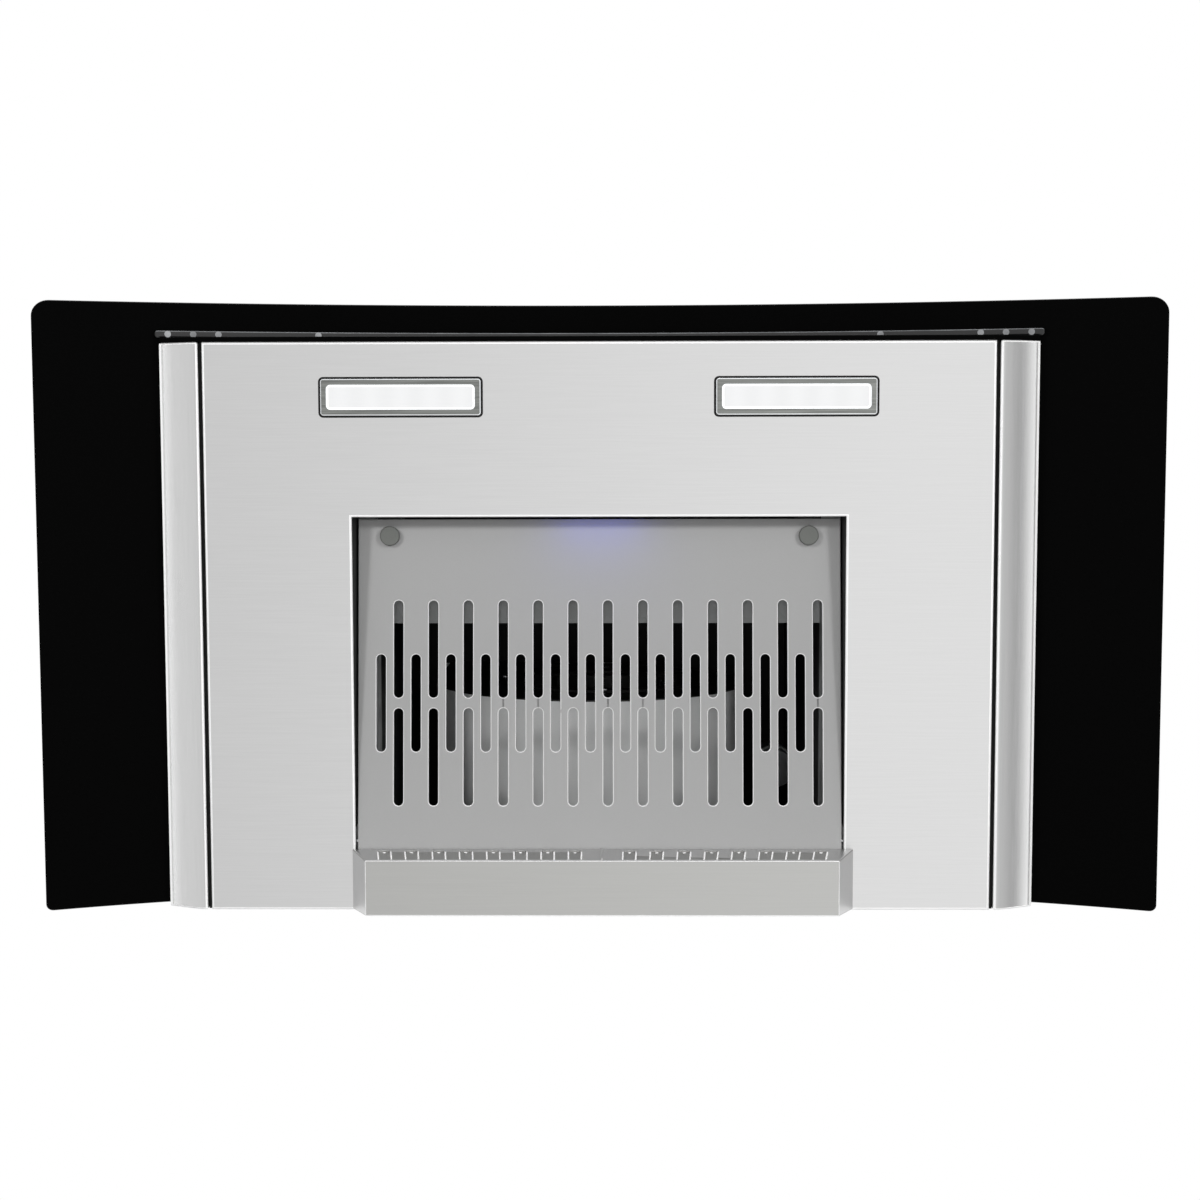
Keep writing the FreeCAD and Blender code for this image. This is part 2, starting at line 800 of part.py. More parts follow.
def tray_form(shrink, top):
    """The tray's solid form, inside its walls by shrink, up to a level below the sheet."""
    def outline(width, front, rear, z):
        left = tray_shift - width / 2 + shrink
        right = tray_shift + width / 2 - shrink
        corners = [Vec(left, -front + shrink, z), Vec(right, -front + shrink, z),
                   Vec(right, -rear - shrink, z), Vec(left, -rear - shrink, z)]
        return Part.Wire(run(corners + corners[:1]))

    low = -fit_gap - tray_height
    slope_front = tray_front - tray_front_slope
    slope_rear = tray_rear + tray_rear_slope
    foot = outline(tray_bottom_width, slope_front, slope_rear, low + shrink)
    rim = outline(tray_top_width, tray_front, tray_rear, top)
    return Part.makeLoft([foot, rim], True, True)


def flute(x, y, depth):
    """One round-topped stamped form on the tray's front wall, depth thick from y."""
    low = -fit_gap - tray_height + flute_foot
    spring = -fit_gap - flute_rim - flute_width / 2
    half = flute_width / 2
    crown = Part.Arc(Vec(x + half, y, spring), Vec(x, y, spring + half), Vec(x - half, y, spring))
    sides = run([Vec(x - half, y, spring), Vec(x - half, y, low), Vec(x + half, y, low),
                 Vec(x + half, y, spring)])
    return face_of(sides + [crown.toShape()]).extrude(Vec(0, depth, 0))


def oil_tray():
    """The folded tray that catches the oil running down the panel."""
    form = tray_form(0.0, -fit_gap)
    room = tray_form(tray_wall, -fit_gap)
    bumps = []
    dents = []
    wall_y = -tray_front
    for k in range(flute_count):
        x = tray_shift + flute_pitch * (k - (flute_count - 1) / 2)
        if k == (flute_count - 1) / 2:
            continue
        bumps.append(flute(x, wall_y + tray_wall, flute_depth + tray_front_slope))
        dents.append(flute(x, wall_y - cut_over, cut_over + flute_depth))
    rib = box(tray_shift - seam_width / 2, tray_shift + seam_width / 2, -tray_front - seam_depth,
              -tray_front + tray_wall, -fit_gap - tray_height, -fit_gap)
    tray = form.cut(room).fuse(bumps).cut(dents)
    return tray.fuse(rib)


def tray_clips():
    """Two spring clips under the rear strip of the sheet, just inside the tray's rear wall."""
    clips = []
    for x in (-clip_strip_x, clip_strip_x):
        left = x - clip_strip_width / 2
        right = x + clip_strip_width / 2
        foot = box(left, right, -opening_rear + fit_gap, -clip_strip_y, -sheet_thick, 0)
        leg = box(left, right, -clip_strip_y - sheet_thick, -clip_strip_y, -clip_strip_drop, 0)
        clips.append(foot.fuse(leg))
    return clips


def lamp_bezel(x):
    """The polished lamp frame with a neck that goes up through the sheet."""
    frame = rounded_block(lamp_width, lamp_depth, -lamp_proud, 0, lamp_corner, x, -lamp_y)
    neck = rounded_block(window_width + 2 * lamp_neck_wall, window_depth + 2 * lamp_neck_wall,
                         -lamp_proud, lamp_neck, window_corner + lamp_neck_wall, x, -lamp_y)
    window = rounded_block(window_width, window_depth, -lamp_proud - cut_over,
                           lamp_neck + cut_over, window_corner, x, -lamp_y)
    return frame.fuse(neck).cut(window)


def lamp_lens(x):
    """The frosted lens that fills the bezel's window."""
    inset = 2 * pin_gap
    low = -lamp_proud / 2
    return rounded_block(window_width - inset, window_depth - inset, low, low + lens_thick,
                         window_corner - pin_gap, x, -lamp_y)


def lamp_housing(x):
    """The box over each lamp, standing on the bezel's neck."""
    width = window_width + 2 * lamp_neck_wall
    depth = window_depth + 2 * lamp_neck_wall
    top = lamp_neck + lamp_house_height
    outer = rounded_block(width, depth, lamp_neck, top, window_corner, x, -lamp_y)
    inner = rounded_block(width - 2 * sheet_thick, depth - 2 * sheet_thick, lamp_neck,
                          top - sheet_thick, window_corner - sheet_thick, x, -lamp_y)
    return outer.cut(inner)


def led_board(x):
    """The strip of LEDs under the roof of each lamp housing."""
    top = lamp_neck + lamp_house_height - sheet_thick
    base = top - led_board_thick
    half = window_width / 2 - lamp_neck_wall
    board = box(x - half, x + half, -lamp_y - led_board_rise / 2, -lamp_y + led_board_rise / 2,
                base, top)
    chips = []
    for k in range(led_count):
        chip_x = x + window_width / led_count * (k - (led_count - 1) / 2)
        chips.append(box(chip_x - led_size / 2, chip_x + led_size / 2, -lamp_y - led_size / 2,
                         -lamp_y + led_size / 2, base - led_height, base))
    return board.fuse(chips)


def control_board():
    """The touch board behind the fascia, with one sensor spring behind each touch spot."""
    y = -body_depth + sheet_thick + beam_thick + touch_spring
    low = sheet_flange
    board = box(-board_width / 2, board_width / 2, y, y + board_thick, low, low + board_height)
    parts = []
    middle = low + board_height / 2 + fit_gap
    for k in range(touch_count):
        x = touch_pitch * (k - (touch_count - 1) / 2)
        parts.append(rod(touch_radius, y + body_depth, Vec(x, -body_depth, middle), ALONG_Y))
    return board.fuse(parts)


def control_cover():
    """The plastic cover over the rear of the touch board, standing on the front beam."""
    y = -body_depth + sheet_thick + beam_thick
    low = sheet_flange - sheet_thick - fit_gap
    high = sheet_flange + board_height + sheet_thick + fit_gap
    half = board_width / 2 + sheet_thick + fit_gap
    outer = box(-half, half, y, y + board_cover_depth, low, high)
    inner = box(-half + sheet_thick, half - sheet_thick, y, y + board_cover_depth - sheet_thick,
                low + sheet_thick, high - sheet_thick)
    return outer.cut(inner)


def indicator_light():
    """The small blue light bar in the front edge of the suction opening."""
    half = indicator_width / 2
    front = -opening_front - sheet_thick / 2 - indicator_depth
    return box(-half, half, front, -opening_front, indicator_foot,
               indicator_foot + indicator_height)


def electric_box(side, width, length, height):
    """A closed electric housing on the bottom sheet, between the chamber and a rail."""
    middle = side * (skirt_outer + foot_flange + rail_x - rail_width / 2) / 2
    block = box(middle - width / 2, middle + width / 2, -electric_front, -electric_front + length,
                sheet_thick, sheet_thick + height)
    edges = [e for e in block.Edges if abs(e.CenterOfMass.z - sheet_thick - height) < sheet_thick]
    return block.makeFillet(sheet_thick, edges)


def box_flange_plate(top):
    """The outline of the blower box's bottom flange, one sheet thick, up to top."""
    half = box_half + box_flange
    return box(-half, half, -box_depth - box_flange, 0, top - box_wall, top)


def wall_hole_places():
    """Centres of the four wall fixing holes."""
    for x in (-wall_hole_spacing_x / 2, wall_hole_spacing_x / 2):
        for z in (-wall_hole_spacing_z / 2, wall_hole_spacing_z / 2):
            yield x, origin_height + z


def blower_box():
    """The housing above the glass, open below to the chamber, with the wall holes in its back."""
    outer = box(-box_half, box_half, -box_depth, 0, box_bottom, box_top)
    outer = outer.fuse(box_flange_plate(box_bottom + box_wall))
    inner = box(-chamber_half, chamber_half, -box_depth + box_wall, -box_back_wall,
                box_bottom - cut_over, box_top + cut_over)
    shell = outer.cut(inner)
    for x, z in wall_hole_places():
        shell = shell.cut(rod(wall_hole_radius, 2 * cut_over, Vec(x, -cut_over, z), ALONG_Y))
    return drilled(shell, box_screws())


def box_screws():
    """Places of the screws that hold the blower box's flange down on the suction chamber."""
    reach = box_half + box_flange / 2
    places = []
    for side in (-1, 1):
        for share in box_screw_shares:
            place = Vec(side * reach, -box_depth * share, box_bottom + box_wall)
            places.append((place, ALONG_Z * -1, box_wall + sheet_thick))
    return places


def blower_box_top():
    """The lid of the blower box, with the mouth of the blower and the cable hole."""
    plate = box(-box_half, box_half, -box_depth, 0, box_top, box_top + box_top_wall)
    mouth = box(mouth_left, mouth_right, -blower_front + casing_wall, -blower_rear - casing_wall,
                box_top - cut_over, box_top + cut_over)
    gland_hole = rod(gland_radius / 2 + pin_gap, 2 * cut_over,
                     Vec(gland_x, -gland_y, box_top - cut_over), ALONG_Z)
    return drilled(plate.cut([mouth, gland_hole]), blower_screws())


def spiral_outline(wall, top):
    """The blower's spiral seen from the front: three quarter turns that grow, then the mouth."""
    half_step = spiral_step / 2

    def quarter(cx, cz, radius, first_deg):
        points = []
        for share in (0.0, 0.5, 1.0):
            angle = math.radians(first_deg - 90.0 * share)
            points.append(Vec(cx + radius * math.cos(angle), 0, cz + radius * math.sin(angle)))
        return points

    small = quarter(blower_x + half_step, blower_z - half_step, spiral_radius + wall, 90.0)
    middle = quarter(blower_x - half_step, blower_z - half_step,
                     spiral_radius + spiral_step + wall, 0.0)
    large = quarter(blower_x - half_step, blower_z + half_step,
                    spiral_radius + 2 * spiral_step + wall, -90.0)
    bend = tongue_radius - wall
    tongue_x = small[0].x
    tongue_z = small[0].z + bend
    tongue = [Vec(tongue_x - bend, 0, tongue_z),
              Vec(tongue_x - bend * math.cos(math.pi / 4), 0,
                  tongue_z - bend * math.sin(math.pi / 4)), small[0]]
    arcs = [Part.Arc(*points).toShape() for points in (tongue, small, middle, large)]
    mouth = run([large[2], Vec(large[2].x, 0, top), Vec(tongue[0].x, 0, top), tongue[0]])
    return face_of(arcs + mouth)


def spiral_solid(wall, front, rear):
    """The spiral outline as a solid between two depths from the wall."""
    solid = spiral_outline(wall, box_top).extrude(Vec(0, front - rear, 0))
    solid.translate(Vec(0, -front, 0))
    return solid


def blower_casing():
    """The spiral band with its rear plate and the flange round its mouth."""
    inner_front = blower_front - casing_wall
    inner_rear = blower_rear + casing_wall
    band = spiral_solid(casing_wall, inner_front, blower_rear)
    flange = box(mouth_left - mouth_flange, mouth_right + mouth_flange,
                 -blower_front + casing_wall, -blower_rear + mouth_flange,
                 box_top - casing_wall, box_top)
    casing = band.fuse(flange).cut(spiral_solid(0.0, inner_front, inner_rear))
    return drilled(casing, blower_screws())


def blower_front_plate():
    """The flat front of the blower with its round inlet."""
    plate = spiral_solid(casing_wall, blower_front, blower_front - casing_wall)
    hole = rod(inlet_radius, 2 * cut_over, Vec(blower_x, -blower_front - cut_over, blower_z), ALONG_Y)
    return drilled(plate.cut(hole), motor_screws())


def inlet_ring():
    """The bell mouth that leads the air into the impeller."""
    outer = inlet_radius + inlet_ring_lip
    face = -blower_front
    inner = inlet_radius - thin_sheet - pin_gap
    bend = inlet_bend
    lip = [Vec(blower_x + outer, face - thin_sheet, blower_z), Vec(blower_x + outer, face, blower_z),
           Vec(blower_x + inner + thin_sheet, face, blower_z),
           Vec(blower_x + inner + thin_sheet, face + bend, blower_z),
           Vec(blower_x + inner, face + bend, blower_z),
           Vec(blower_x + inner, face - thin_sheet, blower_z)]
    section = face_of(run(lip + lip[:1]))
    return section.revolve(Vec(blower_x, 0, blower_z), ALONG_Y, 360.0)


def motor_bracket():
    """A ring on the inlet with arms that reach in to the motor."""
    ring_outer = inlet_radius + inlet_ring_lip + arm_ring_width
    centre = Vec(blower_x, -blower_front - thin_sheet - arm_thick, blower_z)
    ring = rod(ring_outer, arm_thick, centre, ALONG_Y)
    ring = ring.cut(rod(inlet_radius, 4 * arm_thick, centre - Vec(0, arm_thick, 0), ALONG_Y))
    plate_y = arm_plane
    plate = rod(arm_hub_radius, arm_thick, Vec(blower_x, plate_y, blower_z), ALONG_Y)
    parts = [plate]
    for k in range(arm_count):
        inner = arm_hub_radius - arm_thick
        outer = inlet_radius + inlet_ring_lip / 2
        arm = box(blower_x + inner, blower_x + outer, plate_y, plate_y + arm_thick,
                  blower_z - arm_width / 2, blower_z + arm_width / 2)
        leg = box(blower_x + outer - arm_thick, blower_x + outer, plate_y,
                  -blower_front - thin_sheet, blower_z - arm_width / 2, blower_z + arm_width / 2)
        spoke = arm.fuse(leg)
        spoke.rotate(Vec(blower_x, 0, blower_z), ALONG_Y, 45.0 + 360.0 / arm_count * k)
        parts.append(spoke)
    bore = rod(bearing_radius + pin_gap, 4 * arm_thick, Vec(blower_x, plate_y - arm_thick, blower_z),
               ALONG_Y)
    return drilled(ring.fuse(parts).cut(bore), motor_screws())


def motor_places():
    """Centres of the two bearings' front faces along the shaft."""
    return (motor_front - arm_thick, motor_back + motor_nose - bearing_length)


def motor():
    """The motor can with cooling ribs and a nose, hollow for its shaft and bearings."""
    can = rod(motor_radius, motor_length, Vec(blower_x, motor_front, blower_z), ALONG_Y)
    nose = rod(bearing_radius + motor_shell * 2, motor_nose, Vec(blower_x, motor_back, blower_z),
               ALONG_Y)
    ribs = []
    for k in range(motor_rib_count):
        rib = box(blower_x + motor_radius - motor_shell, blower_x + motor_radius + motor_rib,
                  motor_front + motor_rib, motor_back - motor_rib,
                  blower_z - motor_rib / 2, blower_z + motor_rib / 2)
        rib.rotate(Vec(blower_x, 0, blower_z), ALONG_Y, 360.0 / motor_rib_count * k)
        ribs.append(rib)
    body = can.fuse([nose] + ribs)
    bore = rod(shaft_radius + 2 * pin_gap, 2 * motor_length,
               Vec(blower_x, motor_front - motor_shell, blower_z), ALONG_Y)
    body = body.cut(bore)
    for y in motor_places():
        body = body.cut(rod(bearing_radius, bearing_length, Vec(blower_x, y, blower_z), ALONG_Y))
    return body


def motor_bearings():
    """Two plain rings that carry the shaft."""
    rings = []
    for y in motor_places():
        base = Vec(blower_x, y, blower_z)
        ring = rod(bearing_radius, bearing_length, base, ALONG_Y)
        rings.append(ring.cut(rod(shaft_radius + pin_gap, bearing_length, base, ALONG_Y)))
    return rings


def shaft_end():
    """The y place where the shaft ends, behind the impeller's hub and nut."""
    return impeller_back + fit_gap


def motor_shaft():
    """The shaft from the front bearing to the impeller's hub."""
    start = motor_front
    return rod(shaft_radius, shaft_end() - start, Vec(blower_x, start, blower_z), ALONG_Y)


def blade():
    """One forward-curved blade, drawn at the right of the axis."""
    outer = impeller_radius
    inner = impeller_radius - blade_depth
    sweep = blade_depth * blade_sweep_share

    def point(radius, lift):
        return Vec(blower_x + math.sqrt(radius ** 2 - lift ** 2), impeller_front,
                   blower_z + lift)

    middle = (outer + inner) / 2
    low = [point(inner, 0.0), point(middle, sweep / 4), point(outer, sweep)]
    high = [p + Vec(0, 0, blade_thick) for p in low]
    edges = [Part.Arc(*low).toShape(), Part.LineSegment(low[2], high[2]).toShape(),
             Part.Arc(*high).toShape(), Part.LineSegment(high[0], low[0]).toShape()]
    return face_of(edges).extrude(Vec(0, impeller_length, 0))


def impeller():
    """The squirrel-cage wheel: blades between a front ring and a back disc with a hub."""
    axis = Vec(blower_x, 0, blower_z)
    front = Vec(blower_x, impeller_front, blower_z)
    back = Vec(blower_x, impeller_back - impeller_ring, blower_z)
    rim = impeller_radius + blade_thick
    inner = impeller_radius - blade_depth - blade_thick
    ring = rod(rim, impeller_ring, front, ALONG_Y).cut(rod(inner, impeller_ring, front, ALONG_Y))
    disc = rod(rim, impeller_ring, back, ALONG_Y)
    hub = rod(hub_radius, hub_length, back - Vec(0, hub_length - impeller_ring, 0), ALONG_Y)
    blades = []
    for k in range(blade_count):
        vane = blade()
        vane.rotate(axis, ALONG_Y, 360.0 / blade_count * k)
        blades.append(vane)
    wheel = disc.fuse([ring, hub] + blades)
    return wheel.cut(rod(shaft_radius, 2 * impeller_length, front, ALONG_Y))


def impeller_nut():
    """The hexagon nut that clamps the hub on the shaft, in front of the hub."""
    y = impeller_back - hub_length - nut_thick
    base = Vec(blower_x, y, blower_z)
    nut = hexagon(nut_radius, base, ALONG_X, ALONG_Z, Vec(0, nut_thick, 0))
    return nut.cut(rod(shaft_radius, nut_thick, base, ALONG_Y))


def outlet_collar():
    """The round duct collar on its square base, with a stop ring under the flaps."""
    base = rounded_block(collar_base, collar_base, collar_foot, collar_foot + collar_base_thick,
                         2 * cover_corner, mouth_x, mouth_y)
    foot = Vec(mouth_x, mouth_y, collar_foot)
    tube = rod(duct_radius, collar_height, foot, ALONG_Z)
    bore = rod(duct_radius - collar_wall, collar_height + 2 * cut_over,
               foot - Vec(0, 0, cut_over), ALONG_Z)
    level = flap_pin_height - flap_thick / 2 - fit_gap - flap_stop_thick
    stop = rod(duct_radius, flap_stop_thick, foot + Vec(0, 0, level), ALONG_Z)
    stop = stop.cut(rod(duct_radius - collar_wall - flap_stop_width, flap_stop_thick,
                        foot + Vec(0, 0, level), ALONG_Z))
    collar = base.fuse(tube).cut(bore).fuse(stop)
    for side in (-1, 1):
        collar = collar.cut(flap_pin(side, flap_pin_radius + pin_gap, duct_radius))
        room = flap_knuckle + 2 * fit_gap
        collar = collar.cut(box(mouth_x - flap_pin_offset - room, mouth_x + flap_pin_offset + room,
                                mouth_y - duct_radius + collar_wall,
                                mouth_y + duct_radius - collar_wall,
                                collar_foot + level - cut_over,
                                collar_foot + level + flap_stop_thick))
    return collar


def flap_pin(side, radius, reach):
    """One of the two pins across the collar, from front to back."""
    x = mouth_x + side * flap_pin_offset
    half = math.sqrt(reach ** 2 - flap_pin_offset ** 2) - collar_wall / 4
    return rod(radius, 2 * half, Vec(x, mouth_y - half, collar_foot + flap_pin_height), ALONG_Y)


def flap(side):
    """One half-round non-return flap with the knuckle that turns on its pin."""
    x = mouth_x + side * flap_pin_offset
    z = collar_foot + flap_pin_height
    radius = duct_radius - collar_wall - flap_edge_gap
    disc = rod(radius, flap_thick, Vec(mouth_x, mouth_y, z - flap_thick / 2), ALONG_Z)
    half = disc.common(box(x, x + side * duct_radius, mouth_y - duct_radius, mouth_y + duct_radius,
                           z - flap_thick, z + flap_thick))
    length = math.sqrt(radius ** 2 - (flap_pin_offset + flap_knuckle) ** 2) - flap_edge_gap
    knuckle = rod(flap_knuckle, 2 * length, Vec(x, mouth_y - length, z), ALONG_Y)
    return half.fuse(knuckle).cut(flap_pin(side, flap_pin_radius + pin_gap, 2 * duct_radius))


def cover_shell(half, depth, z0, z1):
    """A three-sided chimney cover, open towards the wall, with bent front corners."""
    def solid(inset):
        block = box(-half + inset, half - inset, -depth + inset, 0, z0, z1)
        front = [e for e in upright_edges(block) if e.CenterOfMass.y < -depth / 2]
        return block.makeFillet(max(cover_corner - inset, thin_sheet), front)

    inner = solid(thin_sheet)
    return solid(0.0).cut(inner)


def chimney_lower_cover():
    """The lower cover, standing on the glass."""
    shell = cover_shell(lower_cover_half, lower_cover_depth, glass_under(lower_cover_half),
                        lower_cover_top)
    return over_glass(shell, fit_gap)


def chimney_upper_cover():
    """The telescopic upper cover, with vent slots near the top of both sides."""
    shell = cover_shell(upper_cover_half, upper_cover_depth, upper_cover_top - upper_cover_length,
                        upper_cover_top)
    middle = -upper_cover_depth / 2
    for row in range(vent_rows):
        z = upper_cover_top - vent_below_top - vent_pitch * row
        cut = box(-upper_cover_half - cut_over, upper_cover_half + cut_over,
                  middle - vent_length / 2, middle + vent_length / 2,
                  z - vent_width / 2, z + vent_width / 2)
        shell = shell.cut(cut)
    return shell


def clip_bottom():
    """Height of the lower cover's clips, just above the glass beside the blower box."""
    return glass_under(box_half) + glass_thick + clip_rise


def cover_clips():
    """Two blocks on the sides of the blower box that carry the lower cover."""
    right = box(box_half, lower_cover_half - thin_sheet, -clip_from_wall - clip_depth,
                -clip_from_wall, clip_bottom(), clip_bottom() + clip_height)
    return [right, mirrored(right)]


def cover_screws():
    """Screws through the sides of the lower cover into its clips."""
    screws = []
    for share in cover_screw_shares:
        place = Vec(lower_cover_half, -clip_from_wall - clip_depth * share,
                    clip_bottom() + clip_height / 2)
        right = rod(screw_head_radius, screw_head_height, place, ALONG_X)
        rim = [e for e in right.Edges if e.CenterOfMass.x > place.x + screw_head_height / 2
               and e.Length > screw_head_radius * 2]
        screws.append(right.makeFillet(screw_head_height / 2, rim))
    return screws + [mirrored(s) for s in screws]


def upper_wall_bracket():
    """The bracket that holds the top of the upper cover to the wall."""
    half = upper_cover_half - thin_sheet
    top = upper_cover_top - upper_bracket_below_top
    low = top - upper_bracket_height
    plate = box(-half, half, -upper_bracket_thick, 0, low, top)
    ear = box(half - upper_bracket_thick, half, -upper_bracket_ear, 0, low, top)
    bracket = plate.fuse([ear, mirrored(ear)])
    for x in (-upper_hole_spacing / 2, upper_hole_spacing / 2):
        bracket = bracket.cut(rod(wall_hole_radius, 2 * cut_over,
                                  Vec(x, -cut_over, (low + top) / 2), ALONG_Y))
    return bracket


def capacitor_place():
    """The capacitor's axis, beside the right-hand wall of the blower box."""
    return Vec(chamber_half - strap_thick - capacitor_radius, -capacitor_y,
               box_bottom + capacitor_rise)


def capacitor():
    """The motor's run capacitor, with two tags on its top."""
    place = capacitor_place()
    can = rod(capacitor_radius, capacitor_height, place, ALONG_Z)
    tags = []
    for side in (-1, 1):
        x = place.x + side * capacitor_radius / 2
        top = place.z + capacitor_height
        tags.append(box(x - strap_thick / 2, x + strap_thick / 2, place.y - capacitor_radius / 4,
                        place.y + capacitor_radius / 4, top, top + capacitor_radius / 2))
    return can.fuse(tags)


def capacitor_clamp():
    """The strap round the capacitor, with a foot on the box's wall."""
    place = capacitor_place() + Vec(0, 0, (capacitor_height - strap_width) / 2)
    ring = rod(capacitor_radius + strap_thick, strap_width, place, ALONG_Z)
    foot = box(chamber_half - strap_thick, chamber_half, place.y - 2 * capacitor_radius,
               place.y + 2 * capacitor_radius, place.z, place.z + strap_width)
    return ring.fuse(foot).cut(rod(capacitor_radius, strap_width, place, ALONG_Z))


def cable_gland():
    """The gland for the mains lead, through the lid of the blower box."""
    top = box_top + box_top_wall
    base = Vec(gland_x, -gland_y, top)
    dome = rod(gland_radius, gland_height - gland_nut_height, base + Vec(0, 0, gland_nut_height),
               ALONG_Z)
    rim = [e for e in dome.Edges if e.CenterOfMass.z > top + gland_height - gland_nut_height / 2
           and e.Length > gland_radius * 2]
    dome = dome.makeFillet(gland_radius / 3, rim)
    nut = hexagon(gland_nut, base, ALONG_X, ALONG_Y, Vec(0, 0, gland_nut_height))
    stub = rod(gland_radius / 2, gland_nut_height + box_top_wall,
               Vec(gland_x, -gland_y, box_top - gland_nut_height), ALONG_Z)
    bore = rod(gland_bore, 3 * gland_height, Vec(gland_x, -gland_y, box_top - gland_height), ALONG_Z)
    return nut.fuse([dome, stub]).cut(bore)


def blower_screws():
    """Places of the screws up through the blower's mouth flange into the lid of the box."""
    length = casing_wall + box_top_wall
    low = box_top - casing_wall
    places = []
    for share in mouth_rear_shares:
        x = mouth_left + (mouth_right - mouth_left) * share
        places.append(Vec(x, -blower_rear + mouth_flange / 2, low))
    for x in (mouth_left - mouth_flange / 2, mouth_right + mouth_flange / 2):
        for share in mouth_side_shares:
            places.append(Vec(x, -blower_front + (blower_front - blower_rear) * share, low))
    return [(place, ALONG_Z, length) for place in places]


def motor_screws():
    """Places of the screws through the motor bracket's ring into the front of the blower."""
    radius = inlet_radius + inlet_ring_lip + arm_ring_width / 2
    face = -blower_front - thin_sheet - arm_thick
    places = []
    for k in range(arm_count):
        angle = math.radians(360.0 / arm_count * k)
        place = Vec(blower_x + radius * math.cos(angle), face, blower_z + radius * math.sin(angle))
        places.append((place, ALONG_Y, arm_thick + thin_sheet + casing_wall))
    return places


def cable(points, radius, bend):
    """A round cable along straight runs that turn square, with an arc at each turn."""
    edges = []
    start = points[0]
    for before, corner, after in zip(points, points[1:], points[2:]):
        come = (corner - before).normalize()
        go = (after - corner).normalize()
        arc_start = corner - come * bend
        arc_end = corner + go * bend
        centre = arc_start + go * bend
        middle = centre + (come - go).normalize() * bend
        edges.append(Part.LineSegment(start, arc_start).toShape())
        edges.append(Part.Arc(arc_start, middle, arc_end).toShape())
        start = arc_end
    edges.append(Part.LineSegment(start, points[-1]).toShape())
    ring = Part.Wire(Part.makeCircle(radius, points[0], points[1] - points[0]))
    return Part.Wire(edges).makePipeShell([ring], True, False)


def lamp_wires():
    """The two wires from the front of the LED driver to the ends of the lamp housings."""
    driver_x = -(skirt_outer + foot_flange + rail_x - rail_width / 2) / 2
    end = window_width / 2 + lamp_neck_wall
    z = lamp_neck + wire_radius + fit_gap
    left_x = driver_x - driver_width / 4
    right_x = driver_x + driver_width / 4
    lane_y = -(skirt_front + foot_flange + wire_step)
    entry_x = lamp_x - end - wire_step - wire_bend
    short = [Vec(left_x, -electric_front, z), Vec(left_x, -lamp_y, z),
             Vec(-lamp_x - end, -lamp_y, z)]
    long = [Vec(right_x, -electric_front, z), Vec(right_x, lane_y, z), Vec(entry_x, lane_y, z),
            Vec(entry_x, -lamp_y, z), Vec(lamp_x - end, -lamp_y, z)]
    return [cable(short, wire_radius, wire_bend), cable(long, wire_radius, wire_bend)]


def body_screws():
    """All the small screws inside the hood, with their heads and shanks."""
    return [screw(*place) for place in box_screws() + blower_screws() + motor_screws()]


def build():
    """Makes every piece and writes it."""
    os.makedirs("parts", exist_ok=True)
    node("glass_canopy", glass_canopy())
    node("bottom_sheet", bottom_sheet())
    trim = side_trim()
    node("side_trim_right", trim)
    node("side_trim_left", mirrored(trim))
    node("groove_strips", *groove_strips())
    node("back_plate", back_plate())
    node("front_beam", front_beam())
    node("front_fascia", front_fascia())
    node("fascia_bead", fascia_bead())
    node("bead_screws", *bead_screws())
    rail = glass_rail()
    node("glass_rail_right", rail)
    node("glass_rail_left", mirrored(rail))
    node("glass_pads", *glass_pads())
    node("glass_screws", *glass_screws())
    node("suction_chamber", suction_chamber())
    node("panel_brackets", *panel_brackets())
    node("slotted_panel", slotted_panel())
    node("hinge_pins", *hinge_pins())
    node("thumb_screw_left", thumb_screw(-thumb_x))
    node("thumb_screw_right", thumb_screw(thumb_x))
    node("oil_tray", oil_tray())
    node("tray_clips", *tray_clips())
    for name, x in lamp_sides():
        node("lamp_bezel_" + name, lamp_bezel(x))
        node("lamp_lens_" + name, lamp_lens(x))
        node("lamp_housing_" + name, lamp_housing(x))
        node("led_board_" + name, led_board(x))
    node("control_board", control_board())
    node("control_cover", control_cover())
    node("indicator_light", indicator_light())
    node("power_box", electric_box(1, power_width, power_length, power_height))
    node("led_driver", electric_box(-1, driver_width, driver_length, driver_height))
    node("blower_box", blower_box())
    node("blower_box_top", blower_box_top())
    node("blower_casing", blower_casing())
    node("blower_front_plate", blower_front_plate())
    node("inlet_ring", inlet_ring())
    node("motor_bracket", motor_bracket())
    node("motor", motor())
    node("motor_bearings", *motor_bearings())
    node("motor_shaft", motor_shaft())
    node("impeller", impeller())
    node("impeller_nut", impeller_nut())
    node("outlet_collar", outlet_collar())
    node("flap_left", flap(-1))
    node("flap_right", flap(1))
    node("flap_pins", *[flap_pin(side, flap_pin_radius, duct_radius) for side in (-1, 1)])
    node("chimney_lower_cover", chimney_lower_cover())
    node("chimney_upper_cover", chimney_upper_cover())
    node("cover_clips", *cover_clips())
    node("cover_screws", *cover_screws())
    node("upper_wall_bracket", upper_wall_bracket())
    node("capacitor", capacitor())
    node("capacitor_clamp", capacitor_clamp())
    node("cable_gland", cable_gland())
    node("body_screws", *body_screws())
    node("lamp_wires", *lamp_wires())


build()
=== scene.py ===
import math

import bmesh
import bpy
from mathutils import Matrix, Vector


